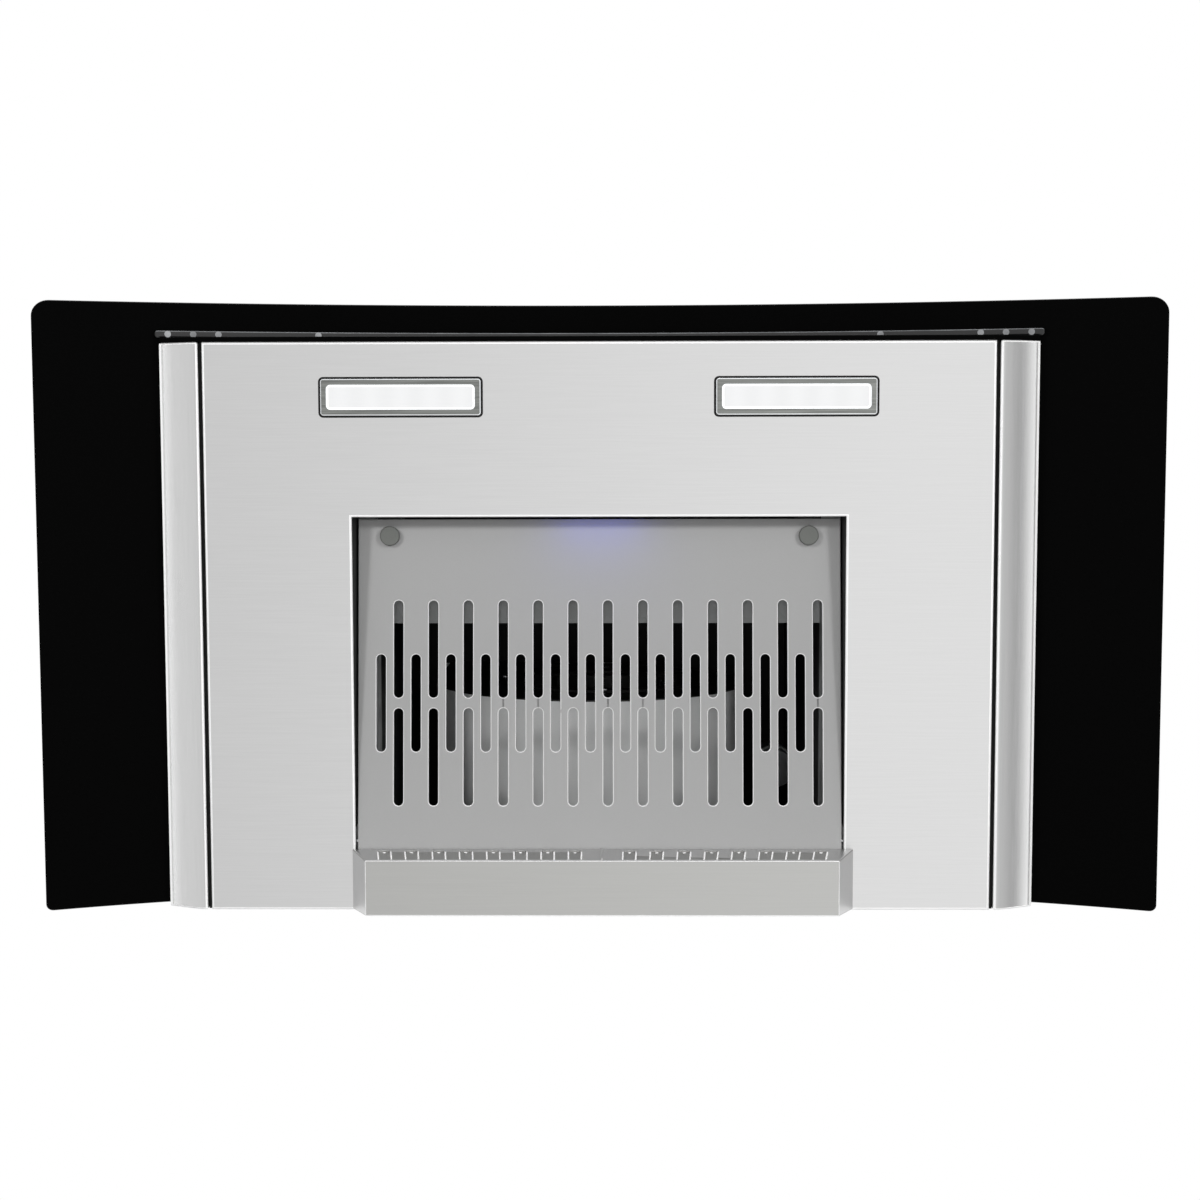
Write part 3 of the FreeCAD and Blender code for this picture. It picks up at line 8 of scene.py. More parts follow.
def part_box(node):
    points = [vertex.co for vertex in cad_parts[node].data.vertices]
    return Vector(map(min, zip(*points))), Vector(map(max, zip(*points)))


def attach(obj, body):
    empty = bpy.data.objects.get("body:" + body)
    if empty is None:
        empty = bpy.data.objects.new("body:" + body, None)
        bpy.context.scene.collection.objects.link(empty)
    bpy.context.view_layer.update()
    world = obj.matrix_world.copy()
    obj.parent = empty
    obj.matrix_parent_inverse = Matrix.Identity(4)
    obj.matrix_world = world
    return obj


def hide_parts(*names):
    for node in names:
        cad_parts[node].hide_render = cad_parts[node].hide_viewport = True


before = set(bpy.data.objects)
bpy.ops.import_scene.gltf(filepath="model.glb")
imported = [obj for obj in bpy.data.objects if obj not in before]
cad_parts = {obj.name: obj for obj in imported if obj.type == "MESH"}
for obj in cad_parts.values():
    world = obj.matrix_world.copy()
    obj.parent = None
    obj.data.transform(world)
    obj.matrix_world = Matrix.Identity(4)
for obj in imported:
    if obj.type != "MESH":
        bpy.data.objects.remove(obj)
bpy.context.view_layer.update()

# A wall-mounted chimney hood with an arched glass canopy, looked at from below.
# x goes right, y towards the wall and z up. Lengths are metres; MM turns millimetres into them.
MM = 0.001

# How closely two lengths have to agree, and two directions
TOLERANCE = 0.01 * MM
PARALLEL = 0.999

# How much of a full round a bevel takes, on a folded side and at the end of a slot or flute
FULL_ROUND = 0.995
ROUND_END = 0.98

# Sides of a round cutter, and the turn between two faces above which their edge stays sharp
ROD_SIDES = 32
SHARP_ANGLE = math.radians(35.0)

# Brushed steel: how long a line of the brushing runs, how far apart lines lie, and their depth
BRUSH_LENGTH = 60.0 * MM
BRUSH_PITCH = 1.2 * MM
BRUSH_DEPTH = 0.012 * MM

# The frame's own places that the looks are built on
SHEET_LOW, SHEET_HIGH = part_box("bottom_sheet")
GLASS_LOW, GLASS_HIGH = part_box("glass_canopy")
BOX_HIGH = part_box("blower_box")[1]
FASCIA_LOW, FASCIA_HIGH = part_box("front_fascia")
BEAD_LOW, BEAD_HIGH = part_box("fascia_bead")
TRIM_LOW, TRIM_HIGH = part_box("side_trim_right")
TRAY_LOW, TRAY_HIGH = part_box("oil_tray")
LENS_LOW, LENS_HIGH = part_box("lamp_lens_right")
LIGHT_LOW, LIGHT_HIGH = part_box("indicator_light")
SHEET_Z = SHEET_LOW.z

# The glass arch: a plate bent about an axis that runs from front to back
GLASS_THICK = 6.0 * MM
ARCH_RADIUS = 1238.0 * MM
ARCH_CENTRE_Z = GLASS_HIGH.z - GLASS_THICK - ARCH_RADIUS
ARCH_STEPS = 72
GLASS_FRONT_CORNER = 13.0 * MM
GLASS_REAR_CORNER = 5.5 * MM
GLASS_EDGE = 1.2 * MM
NOTCH_GAP = 2.5 * MM
NOTCH_DEPTH = 236.0 * MM
NOTCH_CORNER = 8.0 * MM
GLASS_GAP = 0.3 * MM

# Moulding under the glass's front
BEAD_HEIGHT = 7.0 * MM
BEAD_END_ROUND = 2.4 * MM
BEAD_SIDE_ROUND = 1.8 * MM

# Bottom sheet, its suction opening and its lamp cut-outs
SHEET_THICK = 1.0 * MM
SHEET_FOLD = 2.2 * MM
OPENING_HALF = 198.5 * MM
OPENING_FRONT = 320.5 * MM
OPENING_REAR = 12.0 * MM
OPENING_LIP = 12.0 * MM
LIP_REAR = 68.0 * MM
LIP_ROLL = 1.8 * MM
LAMP_HOLE_CORNER = 4.6 * MM
LAMP_HOLE_GROW = 1.8 * MM

# Black foam lining above the opening's lip, put there as painted shade
LINING_BACK = 1.3 * MM
LINING_THICK = 1.1 * MM
LINING_SHELF = 8.0 * MM
LINING_TOP = -229.2 * MM

# How the lower outer side of trims and fascia rises, as shares of its width and height
EDGE_REACH = 0.35
EDGE_RISE = 0.22
EDGE_END = 0.3
EDGE_DROP = 0.38

# Side trims and fascia
TRIM_FLAT = 2.5 * MM
EDGE_HEIGHT = 13.5 * MM
EDGE_TURN = -0.55 * MM
# Width of the band along the trim's outer side that takes the painted highlight
TRIM_HIGHLIGHT_BAND = 1.5 * MM
TRIM_EDGE = 1.7 * MM
FASCIA_EDGE = 0.7 * MM

# Slotted panel, drawn level with its hinge at the origin and then tilted
HINGE = Vector((0.0, -56.0 * MM, SHEET_Z + 6.6 * MM))
PANEL_TILT = math.radians(-6.0)
PANEL_HALF = 197.0 * MM
PANEL_LENGTH = 262.5 * MM
PANEL_REAR_LIP = 8.0 * MM
PANEL_UNDER = -4.5 * MM
PANEL_THICK = 1.2 * MM
PANEL_FLANGE = 9.5 * MM
PANEL_EDGE = 0.9 * MM
SLOT_LENGTH = 79.3 * MM
SLOT_WIDTH = 7.6 * MM
SLOT_PITCH = 14.25 * MM
SLOT_COLUMNS = 26
SLOT_BRIDGE = 8.7 * MM
SLOT_CENTRE = 112.5 * MM
SLOT_EDGE = 0.75 * MM
RIM_REACH = 1.0 * MM
THUMB_X = 170.7 * MM
THUMB_FROM_HINGE = 248.8 * MM
THUMB_HOLE = 2.3 * MM

# Oil tray with stamped flutes on its front wall
TRAY_SHIFT = 2.5 * MM
TRAY_FOOT_HALF = 188.0 * MM
TRAY_FRONT_SLOPE = 0.8 * MM
TRAY_REAR_SLOPE = 4.0 * MM
TRAY_WALL = 1.2 * MM
TRAY_EDGE = 0.9 * MM
FLUTE_COUNT = 17
FLUTE_PITCH = 21.5 * MM
FLUTE_WIDTH = 10.3 * MM
FLUTE_DEPTH = 0.8 * MM
FLUTE_RIM = 5.0 * MM
FLUTE_FOOT = 5.0 * MM
FLUTE_EDGE = 0.5 * MM
WALL_AREA = 25 * FLUTE_WIDTH ** 2
FLUTE_SETBACK = 0.2 * MM
FLUTE_OVER = 10.0 * MM
FLUTE_SPLAY = 0.034
DIMPLE_RADIUS = 1.3 * MM
DIMPLE_PROUD = 0.35 * MM
DIMPLE_BELOW_CROWN = 4.5 * MM
SEAM_WIDTH = 2.2 * MM
SEAM_EDGE = 0.6 * MM
SEAM_PROUD = 0.6 * MM
LINE_WIDTH = 1.3 * MM
LINE_PROUD = 0.35 * MM
LINE_EDGE = 0.3 * MM

# Lamp frames and lenses
LAMP_WIDTH = 131.6 * MM
LAMP_DEPTH = 32.4 * MM
LAMP_PROUD = 1.6 * MM
LAMP_CORNER = 2.4 * MM
LAMP_ROUND = 0.6 * LAMP_PROUD
# The black ring round each frame, a painted shadow: how far it shows, its thickness and how far it
# reaches under the frame
SHADOW_RING_SHOW = 1.5 * MM
SHADOW_RING_THICK = 0.5 * MM
SHADOW_RING_UNDER = 1.0 * MM
LENS_EDGE = 1.4 * MM
WINDOW_EDGE = 0.25 * MM
WINDOW_INSET = 0.6 * MM
WINDOW_PICK = 0.2 * MM
LAMP_NECK = 7.0 * MM
LAMP_NECK_WALL = 1.4 * MM
WINDOW_CORNER = 3.2 * MM
LED_COUNT = 5
LED_GLOW = 0.71
BETWEEN_GLOW = 0.68

# Touch marks on the fascia
TOUCH_COUNT = 5
TOUCH_PITCH = 32.0 * MM
TOUCH_RADIUS = 5.0 * MM
TOUCH_LINE = 0.5 * MM
TOUCH_UP = 31.0 * MM

# Floor and world. The levels say how bright glossy surfaces see the floor, each at a place from 0,
# the band's left end, to 1, its right end. Past its left end the floor looks dark there, and past its
# right end as bright as the top level.
FLOOR_Z = -2.4
FLOOR_SIZE = 60.0
FLOOR_GLOW = 0.8
WORLD_FILL = 0.15
FLOOR_BAND = 5.0
LEVEL_TOP = 2.0
FLOOR_LEVELS = ((0.001, 1.3), (0.26, 1.15), (0.4, 1.08), (0.6, 1.74), (0.66, 1.15), (0.74, 0.9),
                (0.78, 1.05), (0.84, 0.6), (0.999, 0.45))

# Soft lamps: name, place, what they shine at, width, height and power
MIDDLE = (SHEET_LOW + SHEET_HIGH) / 2
LAMPS = (("below", (0.0, -0.4, FLOOR_Z + 0.35), MIDDLE, 0.5, 0.5, 7.5),
         ("left", (-0.8, -0.78, -1.6), MIDDLE, 0.2, 0.2, 8.6),
         ("right", (0.8, -0.78, -1.6), MIDDLE, 0.2, 0.2, 8.6),
         ("front", (0.0, -3.4, SHEET_Z - 0.12), MIDDLE, 0.8, 0.2, 45.0),
         ("above", (-0.8, -1.8, 2.2), (0.0, -0.2, 0.0), 1.4, 1.4, 30.0))

# Bright cards that only gloss shows: name, place, what they face, length, height and brightness
CARDS = (("left card", (-4.0, -0.3, SHEET_Z - 1.2), MIDDLE, 5.0, 0.6, 1.9),
         ("right card", (4.0, -0.3, SHEET_Z - 1.2), MIDDLE, 5.0, 0.6, 0.25),
         ("front card", (0.0, -4.0, SHEET_Z - 0.25), MIDDLE, 6.0, 0.3, 3.0))

# The small light behind the blue lens
BLUE_WIDTH = 68.0 * MM
BLUE_HEIGHT = 4.0 * MM
BLUE_GAP = 1.0 * MM
BLUE_POWER = 0.0068
BLUE_WAY = Vector((0.0, 1.0, 0.6))

# Camera: its place, its pitch, yaw and roll in radians, and its lens and sensor in millimetres
CAMERA_PLACE = Vector((0.01962, -0.37876, SHEET_Z - 1.52339))
CAMERA_TURNS = (0.0819, 0.0122, -0.0012)
CAMERA_LENS = 57.0
SENSOR_WIDTH = 36.0


def activate(piece):
    """Makes one object the only selected and active one."""
    bpy.ops.object.select_all(action="DESELECT")
    piece.select_set(True)
    bpy.context.view_layer.objects.active = piece


def place_in_mesh(piece):
    """Puts a piece's place, turn and size into its mesh."""
    activate(piece)
    bpy.ops.object.transform_apply(location=True, rotation=True, scale=True)
    return piece


def block(name, low, high):
    """A block between two corners."""
    bpy.ops.object.select_all(action="DESELECT")
    low, high = Vector(low), Vector(high)
    bpy.ops.mesh.primitive_cube_add(size=1.0, location=(low + high) / 2)
    piece = bpy.context.object
    piece.name = name
    piece.scale = high - low
    return place_in_mesh(piece)


def rod(name, radius, foot, height):
    """An upright round bar standing on a point."""
    bpy.ops.object.select_all(action="DESELECT")
    middle = Vector(foot) + Vector((0, 0, height / 2))
    bpy.ops.mesh.primitive_cylinder_add(vertices=ROD_SIDES, radius=radius, depth=height,
                                        location=middle)
    piece = bpy.context.object
    piece.name = name
    return place_in_mesh(piece)


def pick(piece, kind, test):
    """Goes into edit mode and selects the faces, edges or corners that pass a test."""
    activate(piece)
    bpy.ops.object.mode_set(mode="EDIT")
    bpy.ops.mesh.select_mode(type=kind)
    bpy.ops.mesh.select_all(action="DESELECT")
    mesh = bmesh.from_edit_mesh(piece.data)
    for part in {"VERT": mesh.verts, "EDGE": mesh.edges, "FACE": mesh.faces}[kind]:
        if test(part):
            part.select_set(True)
    mesh.select_flush_mode()
    bmesh.update_edit_mesh(piece.data)


def leave():
    """Goes back to object mode."""
    bpy.ops.object.mode_set(mode="OBJECT")


def near(a, b):
    """True where two lengths agree."""
    return abs(a - b) < TOLERANCE


def middle_of(edge):
    """The middle point of an edge."""
    return (edge.verts[0].co + edge.verts[1].co) / 2


def runs_along(edge, axis):
    """True where an edge runs along an axis, 0 for x, 1 for y and 2 for z."""
    step = edge.verts[1].co - edge.verts[0].co
    return abs(step[axis]) > PARALLEL * step.length


def level_with(edge, axis, place):
    """True where both ends of an edge lie at one place along an axis."""
    return near(edge.verts[0].co[axis], place) and near(edge.verts[1].co[axis], place)


def round_edges(piece, width, segments, test):
    """Rounds the edges that pass a test."""
    pick(piece, "EDGE", test)
    bpy.ops.mesh.bevel(offset=width, segments=segments, profile=0.5, affect="EDGES")
    leave()
    return piece


def rounded_block(name, low, high, corner, segments=6):
    """A block with its four upright edges rounded."""
    return round_edges(block(name, low, high), corner, segments, lambda e: runs_along(e, 2))


def combine(piece, other, operation):
    """Cuts another solid out of a piece, or joins it on, and removes it."""
    activate(piece)
    change = piece.modifiers.new("change", "BOOLEAN")
    change.operation = operation
    change.solver = "EXACT"
    change.object = other
    bpy.ops.object.modifier_apply(modifier=change.name)
    bpy.data.objects.remove(other)


def cut(piece, other):
    """Cuts another solid out of a piece."""
    combine(piece, other, "DIFFERENCE")


def join_on(piece, other):
    """Makes one solid of a piece and another."""
    combine(piece, other, "UNION")


def copies(pattern, places):
    """One object made of a copy of a solid at each place, in place of the solid itself."""
    twins = []
    for place in places:
        twin = pattern.copy()
        twin.data = pattern.data.copy()
        bpy.context.scene.collection.objects.link(twin)
        twin.location = place
        twins.append(place_in_mesh(twin))
    bpy.data.objects.remove(pattern)
    activate(twins[0])
    for twin in twins:
        twin.select_set(True)
    bpy.ops.object.join()
    return twins[0]


def slice_across(piece, low, high, steps):
    """Cuts a piece's faces at even steps along x, so that it can follow the arch."""
    activate(piece)
    bpy.ops.object.mode_set(mode="EDIT")
    for k in range(1, steps):
        bpy.ops.mesh.select_all(action="SELECT")
        place = (low + (high - low) * k / steps, 0.0, 0.0)
        bpy.ops.mesh.bisect(plane_co=place, plane_no=(1.0, 0.0, 0.0))
    leave()


def arch_z(x, rise):
    """Height of the arch at x, a distance outside the glass's underside."""
    return ARCH_CENTRE_Z + math.sqrt((ARCH_RADIUS + rise) ** 2 - x ** 2)


def bend_to_arch(piece):
    """Moves a flat piece, drawn with its heights above the glass's underside, onto the arch."""
    for point in piece.data.vertices:
        point.co.z = arch_z(point.co.x, point.co.z)


def smooth(piece):
    """Shades a piece smooth except at its sharp edges."""
    activate(piece)
    bpy.ops.object.shade_smooth_by_angle(angle=SHARP_ANGLE)
    flat = piece.modifiers.new("flat faces", "WEIGHTED_NORMAL")
    flat.keep_sharp = True
    bpy.ops.object.modifier_apply(modifier=flat.name)


def finish(piece, body, slot, material, *replaced):
    """Gives a finished piece its material and its body, and hides the nodes it stands for; its slot is
    not used.
    """
    smooth(piece)
    piece.data.materials.clear()
    piece.data.materials.append(material)
    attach(piece, body)
    if replaced:
        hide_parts(*replaced)


def second_finish(piece, material, test):
    """Gives the faces that pass a test a second material."""
    piece.data.materials.append(material)
    number = len(piece.data.materials) - 1
    for face in piece.data.polygons:
        if test(face):
            face.material_index = number


def linear(code):
    """A linear colour with alpha from an sRGB hex code."""
    parts = [int(code[k:k + 2], 16) / 255 for k in (1, 3, 5)]
    return [c / 12.92 if c <= 0.04045 else ((c + 0.055) / 1.055) ** 2.4 for c in parts] + [1.0]


def add_node(tree, kind, inputs=None, **settings):
    """Adds a node with its settings; an input is a value or another node's output."""
    node = tree.nodes.new("ShaderNode" + kind)
    for name, value in settings.items():
        setattr(node, name, value)
    for name, value in (inputs or {}).items():
        if isinstance(value, bpy.types.NodeSocket):
            tree.links.new(value, node.inputs[name])
        else:
            node.inputs[name].default_value = value
    return node


def new_material(name, code, roughness, metallic=0.0, **inputs):
    """A material with its shader set; returns the material, its tree and its shader."""
    material = bpy.data.materials.new(name)
    material.use_nodes = True
    shader = material.node_tree.nodes["Principled BSDF"]
    shader.inputs["Base Color"].default_value = linear(code)
    shader.inputs["Roughness"].default_value = roughness
    shader.inputs["Metallic"].default_value = metallic
    for socket, value in inputs.items():
        shader.inputs[socket.replace("_", " ")].default_value = value
    return material, material.node_tree, shader


def pattern_space(tree, sizes):
    """Object coordinates measured in a pattern's own steps along x, y and z."""
    place = add_node(tree, "TexCoord")
    return add_node(tree, "Mapping", {"Vector": place.outputs["Object"],
                                      "Scale": [1.0 / size for size in sizes]}).outputs["Vector"]


def apply_pattern(tree, shader, pattern, shades=None, rough=None, depth=None, strength=1.0):
    """Lets a pattern from 0 to 1 turn the colour, the roughness and the height of a surface."""
    if shades:
        mix = add_node(tree, "Mix", {0: pattern, 6: linear(shades[0]), 7: linear(shades[1])},
                       data_type="RGBA")
        tree.links.new(mix.outputs[2], shader.inputs["Base Color"])
    if rough:
        spread = add_node(tree, "MapRange", {"Value": pattern, "To Min": rough[0], "To Max": rough[1]})
        tree.links.new(spread.outputs["Result"], shader.inputs["Roughness"])
    if depth:
        bump = add_node(tree, "Bump", {"Height": pattern, "Distance": depth, "Strength": strength})
        tree.links.new(bump.outputs["Normal"], shader.inputs["Normal"])


def brushed_steel(name, line, spacing, dark, light, low_rough, high_rough):
    """Satin stainless sheet: fine parallel lines that stretch every reflection.

    line is the axis that the lines run along, and spacing is how far apart they lie. Real lines lie
    closer than a tenth of a millimetre; they are drawn coarser so that they show.
    """
    material, tree, shader = new_material(name, light, high_rough, 1.0)
    sizes = [spacing, spacing, spacing]
    sizes[line] = BRUSH_LENGTH
    lines = add_node(tree, "TexNoise", {"Vector": pattern_space(tree, sizes), "Scale": 1.0,
                                        "Detail": 3.0, "Roughness": 0.65}).outputs["Fac"]
    apply_pattern(tree, shader, lines, (dark, light), (low_rough, high_rough), BRUSH_DEPTH, 0.15)
    return material


def moulded(name, dark, light, grain, roughness, depth):
    """Moulded plastic or paint with a fine grain."""
    material, tree, shader = new_material(name, light, roughness)
    fine = add_node(tree, "TexNoise", {"Vector": pattern_space(tree, [grain] * 3), "Scale": 1.0,
                                       "Detail": 2.0}).outputs["Fac"]
    apply_pattern(tree, shader, fine, (dark, light), (roughness - 0.08, roughness + 0.08), depth)
    return material


def galvanised():
    """Dull zinc-coated sheet steel: flat crystals a few millimetres across, each a little different."""
    material, tree, shader = new_material("galvanised_steel", "#8f9191", 0.55, 0.3)
    crystals = add_node(tree, "TexVoronoi", {"Vector": pattern_space(tree, [9.0 * MM] * 3),
                                             "Scale": 1.0}).outputs["Color"]
    grey = add_node(tree, "SeparateColor", {"Color": crystals}).outputs[0]
    apply_pattern(tree, shader, grey, ("#a8aaaa", "#b8baba"), (0.48, 0.62))
    return material


def polished(name, dark, light, low_rough, high_rough, metallic=1.0):
    """Bright plated or polished metal with faint smears that mostly show in its gloss."""
    material, tree, shader = new_material(name, light, low_rough, metallic)
    smears = add_node(tree, "TexNoise", {"Vector": pattern_space(tree, [14.0 * MM] * 3),
                                         "Scale": 1.0, "Detail": 3.0}).outputs["Fac"]
    apply_pattern(tree, shader, smears, (dark, light), (low_rough, high_rough))
    return material


def glass_top():
    """Toughened glass over black enamel: a deep gloss with hardly any texture."""
    material, tree, shader = new_material("toughened_glass", "#050506", 0.03, IOR=1.52)
    haze = add_node(tree, "TexNoise", {"Vector": pattern_space(tree, [45.0 * MM] * 3),
                                       "Scale": 1.0, "Detail": 2.0}).outputs["Fac"]
    apply_pattern(tree, shader, haze, rough=(0.02, 0.06))
    return material


def enamel():
    """Black ceramic enamel fired onto the glass's underside: matt and very dark."""
    material, tree, shader = new_material("black_enamel", "#040404", 0.5,
                                          Specular_IOR_Level=0.012)
    specks = add_node(tree, "TexNoise", {"Vector": pattern_space(tree, [1.6 * MM] * 3),
                                         "Scale": 1.0, "Detail": 2.0}).outputs["Fac"]
    apply_pattern(tree, shader, specks, ("#030303", "#060606"), (0.42, 0.58))
    return material


def lens():
    """Frosted acrylic lit from behind by a row of LEDs: almost even white."""
    material, tree, shader = new_material("frosted_acrylic", "#707070", 0.45)
    place = add_node(tree, "TexCoord").outputs["Object"]
    parts = add_node(tree, "SeparateXYZ", {"Vector": place})
    pitch = (LENS_HIGH.x - LENS_LOW.x) / LED_COUNT
    away = add_node(tree, "Math", {0: parts.outputs["X"]}, operation="ABSOLUTE").outputs[0]
    along = add_node(tree, "Math", {0: away, 1: LENS_LOW.x}, operation="SUBTRACT").outputs[0]
    turns = add_node(tree, "Math", {0: along, 1: math.tau / pitch},
                     operation="MULTIPLY").outputs[0]
    wave = add_node(tree, "Math", {0: turns}, operation="COSINE").outputs[0]
    glow = add_node(tree, "MapRange", {"Value": wave, "From Min": -1.0, "From Max": 1.0,
                                       "To Min": LED_GLOW, "To Max": BETWEEN_GLOW}).outputs["Result"]
    shader.inputs["Emission Color"].default_value = linear("#fdfeff")
    tree.links.new(glow, shader.inputs["Emission Strength"])
    grain = add_node(tree, "TexNoise", {"Vector": pattern_space(tree, [0.9 * MM] * 3),
                                        "Scale": 1.0}).outputs["Fac"]
    apply_pattern(tree, shader, grain, depth=0.03 * MM)
    return material


def lens_rim():
    """The lens's polished edge, where the light of the LEDs collects."""
    material, tree, shader = new_material("clear_acrylic_edge", "#c8c9c8", 0.2,
                                          Emission_Strength=0.8)
    shader.inputs["Emission Color"].default_value = linear("#fdfeff")
    grain = add_node(tree, "TexNoise", {"Vector": pattern_space(tree, [3.0 * MM] * 3),
                                        "Scale": 1.0}).outputs["Fac"]
    apply_pattern(tree, shader, grain, rough=(0.15, 0.25))
    return material


def blue_lens():
    """Clear blue acrylic over a row of LEDs."""
    material, tree, shader = new_material("blue_acrylic", "#2b46d8", 0.25,
                                          Emission_Strength=1.2)
    shader.inputs["Emission Color"].default_value = linear("#5a70ff")
    grain = add_node(tree, "TexNoise", {"Vector": pattern_space(tree, [2.0 * MM] * 3),
                                        "Scale": 1.0}).outputs["Fac"]
    apply_pattern(tree, shader, grain, rough=(0.2, 0.35))
    return material


def board_green():
    """Glass-fibre circuit board under a green solder mask."""
    material, tree, shader = new_material("circuit_board", "#1f6b3a", 0.4)
    weave = add_node(tree, "TexVoronoi", {"Vector": pattern_space(tree, [5.0 * MM] * 3),
                                          "Scale": 1.0}, feature="DISTANCE_TO_EDGE").outputs[0]
    apply_pattern(tree, shader, weave, ("#2c8a4e", "#1c5f35"))
    return material


# Satin sheet brushed from side to side: an even pale grey with soft stretched highlights
BRUSHED_ACROSS = brushed_steel("stainless_brushed_across", 0, BRUSH_PITCH,
                               "#c6c6c6", "#d2d2d2", 0.28, 0.42)
# The same steel brushed lengthwise and glossier, so that the side's curve shades clearly
BRUSHED_TRIM = brushed_steel("stainless_brushed_lengthwise", 1, BRUSH_PITCH,
                             "#c6c6c6", "#d0d0d0", 0.18, 0.27)
# Chimney sheet brushed upright: streaks that differ enough to be seen from a step away
BRUSHED_UPRIGHT = brushed_steel("stainless_brushed_upright", 2, BRUSH_PITCH,
                                "#b9b9b8", "#d6d6d5", 0.26, 0.42)
# The tray's walls: the same satin coloured a little lighter, as painted light
TRAY_WALLS_PAINTED_LIGHT = brushed_steel("stainless_tray_walls_painted_light", 0, BRUSH_PITCH,
                              "#d2d2d2", "#dedede", 0.28, 0.42)
# The tray's underside: the same satin coloured darker and faintly warm, as painted shade
TRAY_UNDERSIDE_PAINTED_SHADE = brushed_steel("stainless_tray_underside_painted_shade", 0, BRUSH_PITCH,
                             "#acacaa", "#b6b6b4", 0.28, 0.42)
# Chrome coloured a darker grey with uneven lines: a painted dim reflection on the lamp frames' flat
# face
BEZEL_PAINTED_DIM_REFLECTION = brushed_steel("chrome_painted_dim_reflection", 0, 1.6 * MM, "#3e403e", "#a2a4a1", 0.16, 0.28)
# Near-white steel on the rounded folds: a painted highlight that makes each edge one thin bright line
FOLD_PAINTED_HIGHLIGHT = polished("stainless_fold_painted_highlight", "#f4f4f4", "#fafafa", 0.3, 0.4, 0.5)
# Stamped lines coloured near white along their tops, as a painted highlight
FLUTE_LINE_HIGHLIGHT = moulded("stainless_flute_line_painted_highlight", "#f0f0ef", "#f8f8f7", 2.0 * MM, 0.4, 0.01 * MM)
# Powder-coated steel: a matt mid grey with a fine grain
POWDER_COAT = moulded("grey_powder_coat", "#9b9b9b", "#a1a1a1", 0.9 * MM, 0.5, 0.02 * MM)
# The same coat coloured nearly white on the slots' turned rims, as a painted highlight
SLOT_RIM_HIGHLIGHT = moulded("slot_rim_painted_highlight", "#dadada", "#e4e4e4", 0.9 * MM, 0.4, 0.02 * MM)
# Near-black paint on the blower box, its back plate, brackets and motor: painted shade where the hood's
# inside lies in shadow
SHADE_BLACK_PAINT = moulded("black_paint_painted_shade", "#040404", "#080808", 0.9 * MM, 0.6, 0.02 * MM)
# Foam rubber, dead matt black: laid in grooves, gaps and rings as painted shade
SHADE_BLACK_FOAM = moulded("black_foam_painted_shade", "#030303", "#070707", 0.8 * MM, 0.85, 0.03 * MM)
# ABS from a polished mould: black with small sharp highlights
BEAD_GLOSS = moulded("glossy_black_abs", "#070708", "#0b0b0c", 0.6 * MM, 0.2, 0.004 * MM)
# ABS from a textured mould: black housings and ducts with a dull sheen
BLACK_ABS = moulded("black_abs", "#0c0c0d", "#141415", 0.6 * MM, 0.42, 0.02 * MM)
# The same plastic in mid grey, for the knobs
GREY_ABS = moulded("grey_abs", "#5f615e", "#666865", 0.6 * MM, 0.48, 0.02 * MM)
# The same plastic in white, for lamp housings
WHITE_ABS = moulded("white_abs", "#dcdcd8", "#e8e8e4", 0.6 * MM, 0.45, 0.02 * MM)
# Polypropylene: light grey and a little waxy
CASING_PP = moulded("light_grey_polypropylene", "#e6e7e7", "#eeefef", 1.2 * MM, 0.5, 0.03 * MM)
# Moulded rubber: near black and without gloss
RUBBER = moulded("black_rubber", "#151515", "#202020", 0.5 * MM, 0.75, 0.03 * MM)
# Grey metal on the moulding's lower front edge: a painted highlight that draws one thin grey line
BEAD_EDGE_HIGHLIGHT = polished("bead_edge_painted_highlight", "#38393b", "#8c8e90", 0.15, 0.3)
# Nickel on small screw heads: dark, with bright patches painted in as glints
SCREW_PAINTED_GLINTS = polished("nickel_screw_painted_glints", "#2c2d2f", "#b6b8ba", 0.12, 0.25)
# Chrome: nearly a mirror
CHROME = polished("chrome_plate", "#d2d4d6", "#e6e8ea", 0.05, 0.16)
# Zinc on screws and pins: bright but blurred
ZINC_SCREW = polished("zinc_plated_steel", "#b8babb", "#cfd1d2", 0.18, 0.32)
# Rolled aluminium: pale and soft in its gloss
SHEET_ALUMINIUM = polished("bare_aluminium", "#c0c3c6", "#d2d5d8", 0.24, 0.4)
GALVANISED = galvanised()
GLASS_TOP = glass_top()
ENAMEL = enamel()
LENS = lens()
LENS_RIM = lens_rim()
BLUE_LENS = blue_lens()
BOARD = board_green()

